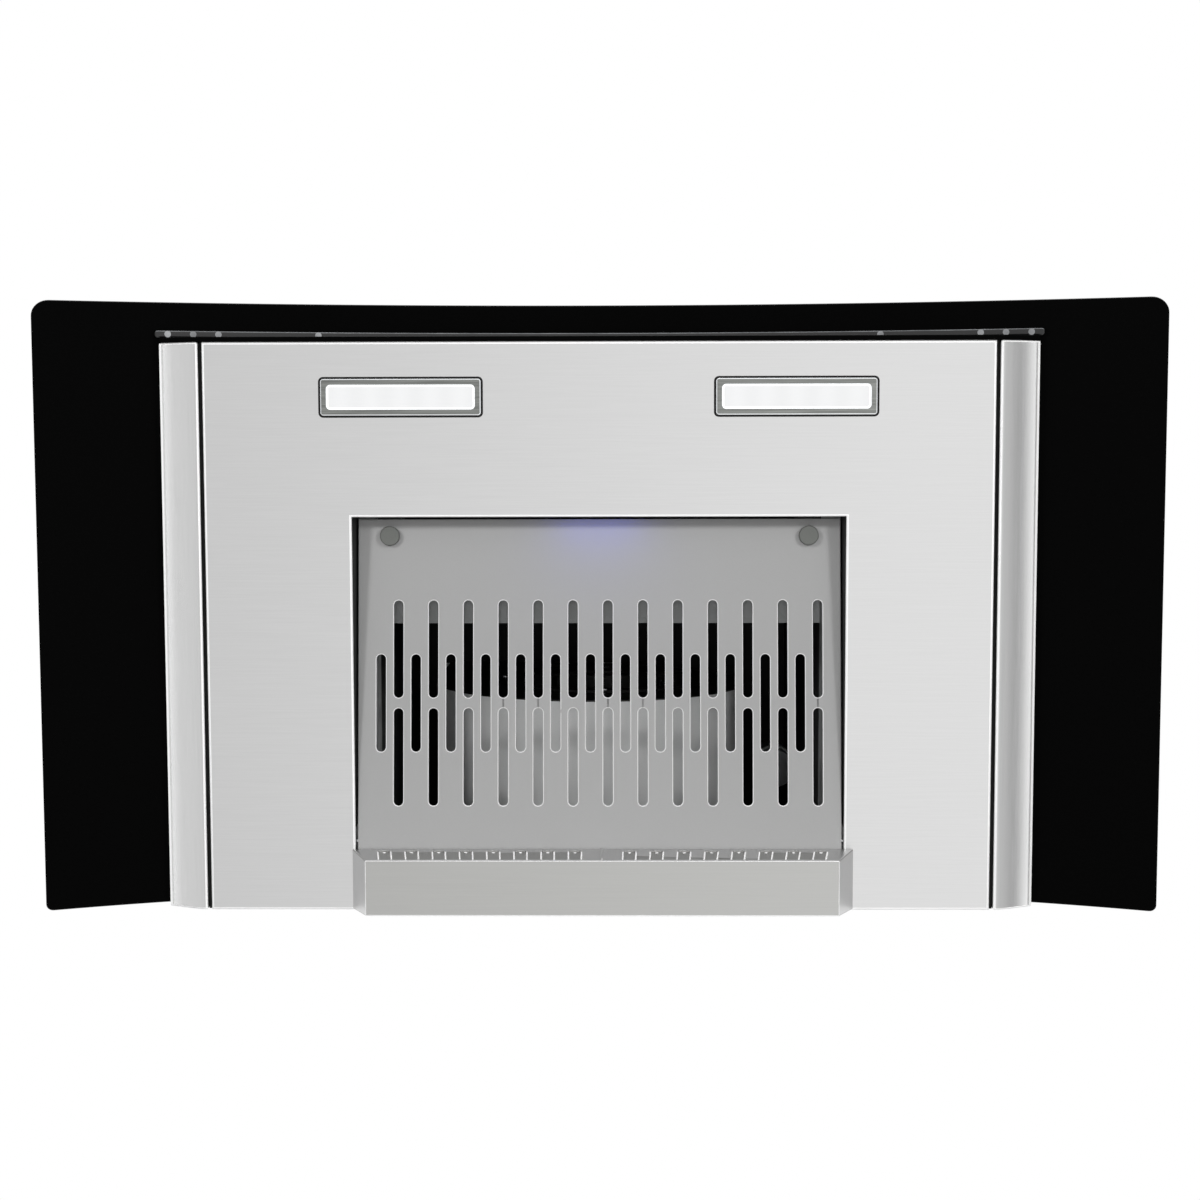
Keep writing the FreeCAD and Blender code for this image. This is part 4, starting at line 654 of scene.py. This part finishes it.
# The finish of each node that keeps its own shape. The black blower box, back plate, brackets, motor,
# blower front plate and inlet ring are painted shade
CARRIED = {
    # The foam in the side grooves is painted shade
    "groove_strips": SHADE_BLACK_FOAM, "control_cover": BLACK_ABS, "outlet_collar": BLACK_ABS,
    "flap_left": BLACK_ABS, "flap_right": BLACK_ABS, "cable_gland": BLACK_ABS,
    "power_box": BLACK_ABS,
    "back_plate": SHADE_BLACK_PAINT, "front_beam": GALVANISED, "glass_rail_left": GALVANISED,
    "glass_rail_right": GALVANISED, "suction_chamber": GALVANISED, "panel_brackets": SHADE_BLACK_PAINT,
    "blower_box": SHADE_BLACK_PAINT, "blower_box_top": SHADE_BLACK_PAINT, "motor_bracket": SHADE_BLACK_PAINT,
    "cover_clips": GALVANISED, "upper_wall_bracket": GALVANISED, "tray_clips": GALVANISED,
    "capacitor_clamp": GALVANISED, "flap_pins": GALVANISED,
    "chimney_lower_cover": BRUSHED_UPRIGHT, "chimney_upper_cover": BRUSHED_UPRIGHT,
    "thumb_screw_left": GREY_ABS, "thumb_screw_right": GREY_ABS,
    "blower_casing": CASING_PP, "blower_front_plate": BLACK_ABS, "inlet_ring": BLACK_ABS,
    "glass_screws": CHROME, "bead_screws": SCREW_PAINTED_GLINTS, "cover_screws": ZINC_SCREW,
    "hinge_pins": ZINC_SCREW, "body_screws": ZINC_SCREW, "motor_shaft": ZINC_SCREW,
    "impeller_nut": ZINC_SCREW, "motor_bearings": ZINC_SCREW,
    "lamp_housing_left": WHITE_ABS, "lamp_housing_right": WHITE_ABS, "led_driver": WHITE_ABS,
    "led_board_left": BOARD, "led_board_right": BOARD, "control_board": BOARD,
    "indicator_light": BLUE_LENS, "motor": SHADE_BLACK_PAINT,
    "impeller": SHEET_ALUMINIUM, "capacitor": SHEET_ALUMINIUM,
    "glass_pads": RUBBER, "lamp_wires": RUBBER,
}


def carry_over():
    """Dresses the nodes that keep their own shape."""
    for name, material in CARRIED.items():
        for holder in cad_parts[name].material_slots:
            holder.material = material


def make_glass():
    """The arched glass: a flat plate with its corners, notch and rim rounded, then bent."""
    low = Vector((GLASS_LOW.x, GLASS_LOW.y, 0.0))
    high = Vector((GLASS_HIGH.x, GLASS_HIGH.y, GLASS_THICK))
    plate = block("canopy_glass", low, high)
    round_edges(plate, GLASS_FRONT_CORNER, 10,
                lambda e: runs_along(e, 2) and near(middle_of(e).y, low.y))
    round_edges(plate, GLASS_REAR_CORNER, 6,
                lambda e: runs_along(e, 2) and near(middle_of(e).y, high.y))
    half = BOX_HIGH.x + NOTCH_GAP
    front = NOTCH_GAP - NOTCH_DEPTH
    notch = rounded_block("notch", (-half, front, -GLASS_THICK), (half, -front, 2 * GLASS_THICK),
                          NOTCH_CORNER)
    cut(plate, notch)
    round_edges(plate, GLASS_REAR_CORNER, 6,
                lambda e: runs_along(e, 2) and near(abs(middle_of(e).x), half)
                and near(middle_of(e).y, high.y))
    round_edges(plate, GLASS_EDGE, 3,
                lambda e: not runs_along(e, 2)
                and (level_with(e, 2, 0.0) or level_with(e, 2, GLASS_THICK))
                and any(abs(f.normal.z) < 0.5 for f in e.link_faces))
    slice_across(plate, low.x, high.x, ARCH_STEPS)
    bend_to_arch(plate)
    finish(plate, "hood", "black_glass", GLASS_TOP, "glass_canopy")
    second_finish(plate, ENAMEL, lambda f: f.normal.z < -0.8)


def make_sheet():
    """The folded bottom sheet with rolled edges, the opening's turned-up lip and lamp cut-outs."""
    low, high = SHEET_LOW, SHEET_HIGH
    wall = Vector((SHEET_THICK, SHEET_THICK, SHEET_THICK))
    sheet = block("brushed_bottom_sheet", low, high)
    round_edges(sheet, SHEET_FOLD, 4, lambda e: level_with(e, 2, low.z))
    inner_high = high - wall + Vector((0, 0, 3 * OPENING_LIP))
    cut(sheet, block("inside", low + wall, inner_high))
    lip_half = OPENING_HALF + SHEET_THICK
    top = low.z + OPENING_LIP
    join_on(sheet, block("lip", (-lip_half, -OPENING_FRONT - SHEET_THICK, low.z + SHEET_THICK / 2),
                         (lip_half, -LIP_REAR, top)))
    cut(sheet, block("opening", (-OPENING_HALF, -OPENING_FRONT, low.z - OPENING_LIP),
                     (OPENING_HALF, -OPENING_REAR, top + OPENING_LIP)))
    round_edges(sheet, LIP_ROLL, 4,
                lambda e: level_with(e, 2, low.z)
                and (level_with(e, 0, OPENING_HALF) or level_with(e, 0, -OPENING_HALF)
                     or level_with(e, 1, -OPENING_FRONT)))
    cut(sheet, block("light window", LIGHT_LOW - wall / 3, LIGHT_HIGH + wall / 3))
    for side in (-1, 1):
        first = min(side * LENS_LOW.x, side * LENS_HIGH.x) - LAMP_HOLE_GROW
        last = max(side * LENS_LOW.x, side * LENS_HIGH.x) + LAMP_HOLE_GROW
        cut(sheet, rounded_block("lamp hole",
                                 (first, LENS_LOW.y - LAMP_HOLE_GROW, low.z - OPENING_LIP),
                                 (last, LENS_HIGH.y + LAMP_HOLE_GROW, top), LAMP_HOLE_CORNER))
    finish(sheet, "hood", "brushed_steel", BRUSHED_ACROSS, "bottom_sheet")
    # The rounded folds take the painted highlight
    second_finish(sheet, FOLD_PAINTED_HIGHLIGHT, lambda f: -0.99 < f.normal.z < -0.15)
    # The opening's upright lip faces take the black foam as painted shade of the gap
    second_finish(sheet, SHADE_BLACK_FOAM,
                  lambda f: abs(f.normal.z) < 0.1 and f.center.y < -LIP_REAR / 2
                  and (near(abs(f.center.x), OPENING_HALF) or near(f.center.y, -OPENING_FRONT)))


def make_chamber_seal():
    """Black foam lining the chamber's front and sides above the lip, with a narrow shelf at its top, as
    painted shade in the gap round the panel.
    """
    low = Vector((-OPENING_HALF - LINING_BACK, -OPENING_FRONT - LINING_BACK, SHEET_Z + OPENING_LIP))
    high = Vector((-low.x, -LIP_REAR, LINING_TOP))
    lining = block("chamber_shade_lining", low, high)
    cut(lining, block("room", (low.x + LINING_THICK, low.y + LINING_THICK, low.z - LINING_THICK),
                    (high.x - LINING_THICK, high.y + LINING_THICK, high.z - LINING_THICK)))
    cut(lining, block("way", (low.x + LINING_SHELF, low.y + LINING_SHELF, low.z),
                    (high.x - LINING_SHELF, high.y + LINING_THICK, high.z + LINING_THICK)))
    finish(lining, "hood", "rubber", SHADE_BLACK_FOAM)


def edge_curve(share):
    """How far across and up the rounded side is at a share of its turn, both from 0 to 1."""
    left = 1.0 - share
    early, late, last = 3 * left ** 2 * share, 3 * left * share ** 2, share ** 3
    across = early * EDGE_REACH + late * (1.0 - EDGE_END) + last
    return across, early * EDGE_RISE + late * (1.0 - EDGE_DROP) + last


def shape_side(piece, curve):
    """Turns a quarter-round lower side into the body's own section, under an arched top."""
    start = TRIM_HIGH.x - curve
    for point in piece.data.vertices:
        if near(point.co.z, curve):
            point.co.z = arch_z(point.co.x, -GLASS_GAP)
        elif abs(point.co.x) > start:
            turn = math.atan2(abs(point.co.x) - start, curve - point.co.z) / (math.pi / 2)
            across, up = edge_curve(1.0 if turn > 0.99 else turn)
            point.co.x = math.copysign(start + across * curve, point.co.x)
            point.co.z = SHEET_Z + up * EDGE_HEIGHT
        else:
            point.co.z += SHEET_Z


def make_trim(side, name):
    """One curved side trim: its lower side rises outwards, its top follows the glass."""
    span = TRIM_HIGH.x - TRIM_LOW.x
    curve = span - TRIM_FLAT
    low = Vector((TRIM_LOW.x, TRIM_LOW.y, 0.0))
    trim = block(name, low, (TRIM_HIGH.x, TRIM_HIGH.y, curve))
    round_edges(trim, curve * FULL_ROUND, 16,
                lambda e: runs_along(e, 1) and near(middle_of(e).x, TRIM_HIGH.x)
                and near(middle_of(e).z, 0.0))
    shape_side(trim, curve)
    for point in trim.data.vertices:
        if near(point.co.x, TRIM_HIGH.x) and near(point.co.z, SHEET_Z + EDGE_HEIGHT):
            point.co.z += EDGE_TURN
        point.co.x *= side
    if side < 0:
        pick(trim, "FACE", lambda f: True)
        bpy.ops.mesh.normals_make_consistent(inside=False)
        leave()
    round_edges(trim, TRIM_EDGE, 3,
                lambda e: level_with(e, 1, TRIM_LOW.y) or level_with(e, 1, TRIM_HIGH.y)
                or (runs_along(e, 1) and near(abs(middle_of(e).x), TRIM_LOW.x)
                    and near(middle_of(e).z, SHEET_Z)))
    node = "side_trim_right" if side > 0 else "side_trim_left"
    finish(trim, "hood", "brushed_steel", BRUSHED_TRIM, node)
    # The trim's rounded edges and a band along its outer side take the painted highlight
    second_finish(trim, FOLD_PAINTED_HIGHLIGHT,
                  lambda f: -0.99 < f.normal.z < -0.1
                  and (abs(f.normal.y) > 0.1 or f.normal.x * side < -0.1
                       or abs(f.center.x) > TRIM_HIGH.x - TRIM_HIGHLIGHT_BAND))


def make_fascia():
    """The black touch panel at the front, arched at its top and rounded at its lower corners."""
    curve = TRIM_HIGH.x - TRIM_LOW.x - TRIM_FLAT
    panel = block("touch_fascia", (FASCIA_LOW.x, FASCIA_LOW.y, 0.0),
                  (FASCIA_HIGH.x, FASCIA_HIGH.y, curve))
    round_edges(panel, curve * FULL_ROUND, 16,
                lambda e: runs_along(e, 1) and near(middle_of(e).z, 0.0))
    slice_across(panel, FASCIA_LOW.x, FASCIA_HIGH.x, ARCH_STEPS)
    shape_side(panel, curve)
    round_edges(panel, FASCIA_EDGE, 3,
                lambda e: level_with(e, 1, FASCIA_LOW.y)
                and any(f.normal.y > -0.5 for f in e.link_faces))
    finish(panel, "hood", "black_glass", GLASS_TOP, "front_fascia")
    second_finish(panel, ENAMEL, lambda f: f.normal.z < -0.3)


def make_bead():
    """The black moulding under the glass's front, round in section and at its ends."""
    low = Vector((BEAD_LOW.x, BEAD_LOW.y, -BEAD_HEIGHT))
    high = Vector((BEAD_HIGH.x, BEAD_HIGH.y, -GLASS_GAP))
    bead = block("glass_bead", low, high)
    round_edges(bead, BEAD_END_ROUND, 5, lambda e: runs_along(e, 2))
    round_edges(bead, BEAD_SIDE_ROUND, 4,
                lambda e: level_with(e, 2, low.z) or level_with(e, 2, high.z))
    slice_across(bead, low.x, high.x, ARCH_STEPS)
    bend_to_arch(bead)
    finish(bead, "hood", "black_plastic", BEAD_GLOSS, "fascia_bead")
    # A band of the moulding's lower front edge takes the painted highlight
    second_finish(bead, BEAD_EDGE_HIGHLIGHT, lambda f: -0.8 < f.normal.y < -0.35 and f.normal.z < -0.5)


def make_touch_marks():
    """Five plain rings on the fascia where the touch spots are."""
    first = -TOUCH_PITCH * (TOUCH_COUNT - 1) / 2
    rings = []
    for k in range(TOUCH_COUNT):
        bpy.ops.object.select_all(action="DESELECT")
        place = (first + TOUCH_PITCH * k, FASCIA_LOW.y, SHEET_Z + TOUCH_UP)
        bpy.ops.mesh.primitive_torus_add(major_radius=TOUCH_RADIUS, minor_radius=TOUCH_LINE / 2,
                                         major_segments=40, minor_segments=8, location=place,
                                         rotation=(math.pi / 2, 0.0, 0.0))
        rings.append(place_in_mesh(bpy.context.object))
    activate(rings[0])
    for ring in rings:
        ring.select_set(True)
    bpy.ops.object.join()
    rings[0].name = "touch_marks"
    finish(rings[0], "hood", "grey_plastic", GREY_ABS)


def slot_places():
    """Centre of each slot: single slots in the even columns, pairs in the odd ones."""
    first = -SLOT_PITCH * (SLOT_COLUMNS - 1) / 2
    step = (SLOT_LENGTH + SLOT_BRIDGE) / 2
    for column in range(SLOT_COLUMNS):
        for row in (0.0,) if column % 2 == 0 else (-step, step):
            yield Vector((first + SLOT_PITCH * column, -SLOT_CENTRE + row, 0.0))


def make_panel():
    """The slotted panel: pressed slots with turned rims, side flanges and rolled edges."""
    top = PANEL_UNDER + PANEL_THICK
    panel = block("slotted_suction_panel", (-PANEL_HALF, -PANEL_LENGTH, PANEL_UNDER),
                  (PANEL_HALF, PANEL_REAR_LIP, PANEL_UNDER + PANEL_FLANGE))
    round_edges(panel, PANEL_EDGE, 3,
                lambda e: level_with(e, 2, PANEL_UNDER) and runs_along(e, 1))
    inner = PANEL_HALF - PANEL_THICK
    cut(panel, block("room", (-inner, -PANEL_LENGTH - PANEL_FLANGE, top),
                     (inner, PANEL_REAR_LIP + PANEL_FLANGE, 3 * PANEL_FLANGE)))
    half = Vector((SLOT_WIDTH / 2, SLOT_LENGTH / 2, PANEL_FLANGE))
    slot = rounded_block("slot", -half, half, SLOT_WIDTH / 2 * ROUND_END, 8)
    cut(panel, copies(slot, slot_places()))
    round_edges(panel, SLOT_EDGE, 2,
                lambda e: level_with(e, 2, PANEL_UNDER)
                and abs(middle_of(e).x) < inner - SLOT_EDGE
                and not level_with(e, 1, -PANEL_LENGTH) and not level_with(e, 1, PANEL_REAR_LIP))
    for side in (-1, 1):
        foot = (side * THUMB_X, -THUMB_FROM_HINGE, PANEL_UNDER - PANEL_FLANGE)
        cut(panel, rod("thumb hole", THUMB_HOLE, foot, 2 * PANEL_FLANGE))
    slot_low = min(place.y for place in slot_places()) - SLOT_LENGTH
    slot_high = max(place.y for place in slot_places()) + SLOT_LENGTH / 2 + RIM_REACH
    rims = {face.index for face in panel.data.polygons
            if PANEL_UNDER + TOLERANCE < face.center.z < top and abs(face.center.x) < inner - RIM_REACH
            and slot_low < face.center.y < slot_high and -0.95 < face.normal.z < -0.05}
    panel.location = HINGE
    panel.rotation_euler = (PANEL_TILT, 0.0, 0.0)
    place_in_mesh(panel)
    finish(panel, "suction_panel", "painted_grey", POWDER_COAT, "slotted_panel")
    # The slots' rims take the painted highlight
    second_finish(panel, SLOT_RIM_HIGHLIGHT, lambda f: f.index in rims)


def make_tray():
    """The oil tray: a folded trough with sloping ends and round-topped flutes along its front."""
    tray = block("fluted_oil_tray", TRAY_LOW + Vector((0.0, SEAM_PROUD, 0.0)), TRAY_HIGH)
    height = TRAY_HIGH.z - TRAY_LOW.z
    middle_y = (TRAY_LOW.y + TRAY_HIGH.y) / 2
    slope = (TRAY_HIGH.x - TRAY_SHIFT - TRAY_FOOT_HALF) / height
    pick(tray, "FACE", lambda f: f.normal.z > 0.9)
    bpy.ops.mesh.inset(thickness=TRAY_WALL)
    bpy.ops.mesh.extrude_region_move(TRANSFORM_OT_translate={"value": (0, 0, TRAY_WALL - height)})
    leave()
    for point in tray.data.vertices:
        below = TRAY_HIGH.z - point.co.z
        point.co.x -= math.copysign(below * slope, point.co.x - TRAY_SHIFT)
        share = TRAY_FRONT_SLOPE if point.co.y < middle_y else -TRAY_REAR_SLOPE
        point.co.y += share * below / height
    wall = TRAY_LOW.y + SEAM_PROUD + FLUTE_SETBACK
    half = FLUTE_WIDTH / 2
    low = Vector((-half, wall - FLUTE_OVER, TRAY_LOW.z + FLUTE_FOOT))
    high = Vector((half, wall + FLUTE_DEPTH, TRAY_HIGH.z - FLUTE_RIM))
    flute = block("flute", low, high)
    round_edges(flute, half * ROUND_END, 8, lambda e: runs_along(e, 1) and level_with(e, 2, high.z))
    first = -FLUTE_PITCH * (FLUTE_COUNT - 1) / 2
    places = [Vector((TRAY_SHIFT + first + FLUTE_PITCH * k, 0.0, 0.0))
              for k in range(FLUTE_COUNT) if k != (FLUTE_COUNT - 1) // 2]
    cut(tray, splay(copies(flute, places), height))
    round_edges(tray, FLUTE_EDGE, 2,
                lambda e: any(f.normal.y < -0.99 and f.calc_area() > WALL_AREA
                              for f in e.link_faces)
                and abs(middle_of(e).x - TRAY_SHIFT) < TRAY_FOOT_HALF
                and TRAY_LOW.z + FLUTE_FOOT / 2 < middle_of(e).z < TRAY_HIGH.z - FLUTE_RIM / 2)
    rib = block("seam", (TRAY_SHIFT - SEAM_WIDTH / 2, TRAY_LOW.y, TRAY_LOW.z + TRAY_EDGE),
                (TRAY_SHIFT + SEAM_WIDTH / 2, TRAY_LOW.y + TRAY_WALL, TRAY_HIGH.z))
    round_edges(rib, SEAM_EDGE, 2, lambda e: runs_along(e, 2) and near(middle_of(e).y, TRAY_LOW.y))
    join_on(tray, rib)
    round_edges(tray, TRAY_EDGE, 3,
                lambda e: level_with(e, 2, TRAY_LOW.z)
                or (not near(e.verts[0].co.z, e.verts[1].co.z)
                    and any(abs(f.normal.y) > 0.5 for f in e.link_faces)
                    and any(abs(f.normal.x) > 0.5 for f in e.link_faces)
                    and abs(middle_of(e).x - TRAY_SHIFT) > TRAY_FOOT_HALF + TRAY_WALL))
    finish(tray, "tray", "brushed_steel", TRAY_UNDERSIDE_PAINTED_SHADE, "oil_tray")
    # The tray's front wall and ends are coloured lighter than its underside, as painted light and shade
    second_finish(tray, TRAY_WALLS_PAINTED_LIGHT,
                  lambda f: (f.normal.y < -0.5 and f.center.y < wall + FLUTE_DEPTH / 2)
                  or abs(f.normal.x) > 0.9)
    # The tray's rounded foot edges take the painted highlight
    second_finish(tray, FOLD_PAINTED_HIGHLIGHT,
                  lambda f: -0.97 < f.normal.z < -0.25 and f.center.z < TRAY_LOW.z + TRAY_EDGE)
    make_flute_beads(places, height)


def splay(flutes, height):
    """Spreads the flutes a little from the tray's foot to its top, as its ends spread."""
    for point in flutes.data.vertices:
        point.co.x += (point.co.x - TRAY_SHIFT) * FLUTE_SPLAY * (point.co.z - TRAY_LOW.z) / height
    return flutes


def make_flute_beads(places, height):
    """Raised lines along both sides of each flute, and a small dimple under its arch, both coloured
    near white as a painted highlight.
    """
    front = TRAY_LOW.y + SEAM_PROUD
    bead = block("bead", (-LINE_WIDTH / 2, front - LINE_PROUD, TRAY_LOW.z + FLUTE_FOOT),
                 (LINE_WIDTH / 2, front + TRAY_WALL / 2, TRAY_HIGH.z - FLUTE_RIM - FLUTE_WIDTH / 2))
    round_edges(bead, LINE_EDGE, 2, lambda e: level_with(e, 1, front - LINE_PROUD))
    half = Vector((FLUTE_WIDTH / 2, 0.0, 0.0))
    beads = copies(bead, [place + half * side for place in places for side in (-1, 1)])
    bpy.ops.object.select_all(action="DESELECT")
    crown = TRAY_HIGH.z - FLUTE_RIM - DIMPLE_BELOW_CROWN
    bpy.ops.mesh.primitive_uv_sphere_add(segments=16, ring_count=8, radius=DIMPLE_RADIUS,
                                         location=(0.0, front + FLUTE_DEPTH, crown))
    dimple = bpy.context.object
    dimple.scale.y = DIMPLE_PROUD / DIMPLE_RADIUS
    dimples = copies(place_in_mesh(dimple), places)
    activate(beads)
    dimples.select_set(True)
    bpy.ops.object.join()
    beads.name = "flute_beads"
    splay(beads, height)
    for point in beads.data.vertices:
        point.co.y += TRAY_FRONT_SLOPE * (TRAY_HIGH.z - point.co.z) / height
    finish(beads, "tray", "brushed_steel", FLUTE_LINE_HIGHLIGHT)


def make_lamp(side, name):
    """One lamp: a frame with a bevelled rim, a black ring round it as a painted shadow, and the frosted
    lens in its window.
    """
    x = side * (LENS_LOW.x + LENS_HIGH.x) / 2
    y = (LENS_LOW.y + LENS_HIGH.y) / 2
    half_window = Vector(((LENS_HIGH.x - LENS_LOW.x) / 2 - WINDOW_INSET,
                          (LENS_HIGH.y - LENS_LOW.y) / 2 - WINDOW_INSET, 0.0))
    half_pad = Vector((LAMP_WIDTH / 2, LAMP_DEPTH / 2, 0.0))
    half_frame = half_pad - Vector((SHADOW_RING_SHOW, SHADOW_RING_SHOW, 0.0))
    middle = Vector((x, y, SHEET_Z))
    bezel = rounded_block("lamp_frame_" + name, middle - half_frame - Vector((0, 0, LAMP_PROUD)),
                          middle + half_frame, LAMP_CORNER, 5)
    round_edges(bezel, LAMP_ROUND, 3, lambda e: level_with(e, 2, SHEET_Z - LAMP_PROUD))
    grow = Vector((LAMP_NECK_WALL, LAMP_NECK_WALL, 0.0))
    join_on(bezel, rounded_block("neck", middle - half_window - grow - Vector((0, 0, LAMP_PROUD / 2)),
                                 middle + half_window + grow + Vector((0, 0, LAMP_NECK)),
                                 WINDOW_CORNER + LAMP_NECK_WALL))
    deep = Vector((0, 0, 2 * LAMP_NECK))
    cut(bezel, rounded_block("window", middle - half_window - deep, middle + half_window + deep,
                             WINDOW_CORNER))
    round_edges(bezel, WINDOW_EDGE, 2,
                lambda e: level_with(e, 2, SHEET_Z - LAMP_PROUD)
                and abs(middle_of(e).x - x) < half_window.x + WINDOW_PICK
                and abs(middle_of(e).y - y) < half_window.y + WINDOW_PICK)
    finish(bezel, "hood", "bright_metal", CHROME, "lamp_bezel_" + name)
    # The frame's flat face is coloured darker than its chrome rims, as a painted dim reflection
    second_finish(bezel, BEZEL_PAINTED_DIM_REFLECTION, lambda f: f.normal.z < -0.97)
    pad = rounded_block("lamp_shadow_ring_" + name, middle - half_pad - Vector((0, 0, SHADOW_RING_THICK)),
                        middle + half_pad, LAMP_CORNER + SHADOW_RING_SHOW)
    inset = Vector((SHADOW_RING_UNDER, SHADOW_RING_UNDER, -SHADOW_RING_UNDER))
    cut(pad, rounded_block("room", middle - half_frame + inset, middle + half_frame - inset,
                           LAMP_CORNER))
    finish(pad, "hood", "rubber", SHADE_BLACK_FOAM)
    low = middle - half_window + Vector((0, 0, LENS_LOW.z - SHEET_Z))
    high = middle + half_window + Vector((0, 0, LENS_HIGH.z - SHEET_Z))
    glow = rounded_block("lamp_diffuser_" + name, low, high, WINDOW_CORNER)
    round_edges(glow, LENS_EDGE, 3, lambda e: level_with(e, 2, low.z))
    finish(glow, "hood", "frosted_lens", LENS, "lamp_lens_" + name)
    second_finish(glow, LENS_RIM, lambda f: f.normal.z > -0.97)


def area_lamp(name, place, aim, width, height, power, code="#ffffff"):
    """A soft rectangular lamp that shines from a place towards a point, left out of reflections."""
    data = bpy.data.lights.new(name, "AREA")
    data.energy = power
    data.color = linear(code)[:3]
    data.shape = "RECTANGLE"
    data.size = width
    data.size_y = height
    lamp = bpy.data.objects.new(name, data)
    bpy.context.scene.collection.objects.link(lamp)
    lamp.location = place
    lamp.rotation_euler = (Vector(aim) - Vector(place)).to_track_quat("-Z", "Y").to_euler()
    lamp.visible_camera = False
    lamp.visible_glossy = False
    return lamp


def strip_card(name, place, aim, length, height, brightness):
    """A long bright card that only shows in glossy surfaces."""
    card = area_lamp(name, place, aim, length, height, brightness * math.pi * length * height)
    card.visible_glossy = True
    card.visible_diffuse = False


def pale_rays(tree):
    """1 for rays that should see the plain white room: seen, mirrored or passed through."""
    path = add_node(tree, "LightPath").outputs
    seen = add_node(tree, "Math", {0: path["Is Camera Ray"], 1: path["Is Glossy Ray"]},
                    operation="MAXIMUM").outputs[0]
    return add_node(tree, "Math", {0: seen, 1: path["Is Transmission Ray"]},
                    operation="MAXIMUM").outputs[0]


def make_world():
    """A white world to look at, which gives the object only a little light."""
    world = bpy.data.worlds.new("white_room")
    bpy.context.scene.world = world
    world.use_nodes = True
    tree = world.node_tree
    fill = add_node(tree, "MapRange", {"Value": pale_rays(tree), "To Min": WORLD_FILL, "To Max": 1.0})
    background = tree.nodes["Background"]
    tree.links.new(fill.outputs["Result"], background.inputs["Strength"])
    background.inputs["Color"].default_value = (1.0, 1.0, 1.0, 1.0)


def floor_levels(tree):
    """How bright glossy surfaces see the floor: lighter and darker bands along x."""
    place = add_node(tree, "TexCoord").outputs["Object"]
    across = add_node(tree, "SeparateXYZ", {"Vector": place}).outputs["X"]
    share = add_node(tree, "MapRange", {"Value": across, "From Min": -FLOOR_BAND,
                                        "From Max": FLOOR_BAND}).outputs["Result"]
    ramp = add_node(tree, "ValToRGB", {"Fac": share})
    for spot, level in FLOOR_LEVELS:
        grey = level / LEVEL_TOP
        ramp.color_ramp.elements.new(spot).color = (grey, grey, grey, 1.0)
    return add_node(tree, "Math", {0: ramp.outputs["Color"], 1: LEVEL_TOP},
                    operation="MULTIPLY").outputs[0]


def make_floor():
    """A pale floor far below the hood, which still shows the hood's shadow."""
    bpy.ops.object.select_all(action="DESELECT")
    bpy.ops.mesh.primitive_plane_add(size=FLOOR_SIZE, location=(0.0, 0.0, FLOOR_Z))
    floor = bpy.context.object
    floor.name = "floor"
    # Matt paint, with a glow of its own that only the pale rays see
    material, tree, shader = new_material("matt_floor_paint", "#efefee", 0.8)
    glossy = add_node(tree, "LightPath").outputs["Is Glossy Ray"]
    strength = add_node(tree, "Mix", {0: glossy, 2: 1.0, 3: floor_levels(tree)},
                        data_type="FLOAT").outputs[0]
    glow = add_node(tree, "Emission", {"Color": (1.0, 1.0, 1.0, 1.0), "Strength": strength})
    share = add_node(tree, "Math", {0: pale_rays(tree), 1: FLOOR_GLOW}, operation="MULTIPLY").outputs[0]
    mixed = add_node(tree, "MixShader", {"Fac": share, 1: shader.outputs[0], 2: glow.outputs[0]})
    tree.links.new(mixed.outputs[0], tree.nodes["Material Output"].inputs["Surface"])
    floor.data.materials.append(material)


def make_lights():
    """The soft lamps, the cards for the gloss, and the small blue light at the panel's front."""
    for lamp in LAMPS:
        area_lamp(*lamp)
    for card in CARDS:
        strip_card(*card)
    place = Vector(((LIGHT_LOW.x + LIGHT_HIGH.x) / 2, LIGHT_HIGH.y + BLUE_GAP,
                    (LIGHT_LOW.z + LIGHT_HIGH.z) / 2))
    area_lamp("blue", place, place + BLUE_WAY, BLUE_WIDTH, BLUE_HEIGHT, BLUE_POWER, "#4a5cff")


def make_camera():
    """The camera, below the hood and looking almost straight up."""
    data = bpy.data.cameras.new("camera")
    data.lens = CAMERA_LENS
    data.sensor_width = SENSOR_WIDTH
    data.clip_start = 0.05
    data.clip_end = 100.0
    camera = bpy.data.objects.new("camera", data)
    bpy.context.scene.collection.objects.link(camera)
    pitch, yaw, roll = CAMERA_TURNS
    turn = (Matrix.Rotation(roll, 3, "Z") @ Matrix.Rotation(yaw, 3, "Y")
            @ Matrix.Rotation(pitch, 3, "X"))
    flip = Matrix.Diagonal((1.0, -1.0, -1.0))
    camera.matrix_world = Matrix.Translation(CAMERA_PLACE) @ (turn.transposed() @ flip).to_4x4()
    bpy.context.scene.camera = camera


carry_over()
make_glass()
make_sheet()
make_chamber_seal()
make_trim(1, "curved_trim_right")
make_trim(-1, "curved_trim_left")
make_fascia()
make_touch_marks()
make_bead()
make_panel()
make_tray()
make_lamp(-1, "left")
make_lamp(1, "right")
make_world()
make_floor()
make_lights()
make_camera()
bpy.context.scene.view_settings.view_transform = "Standard"
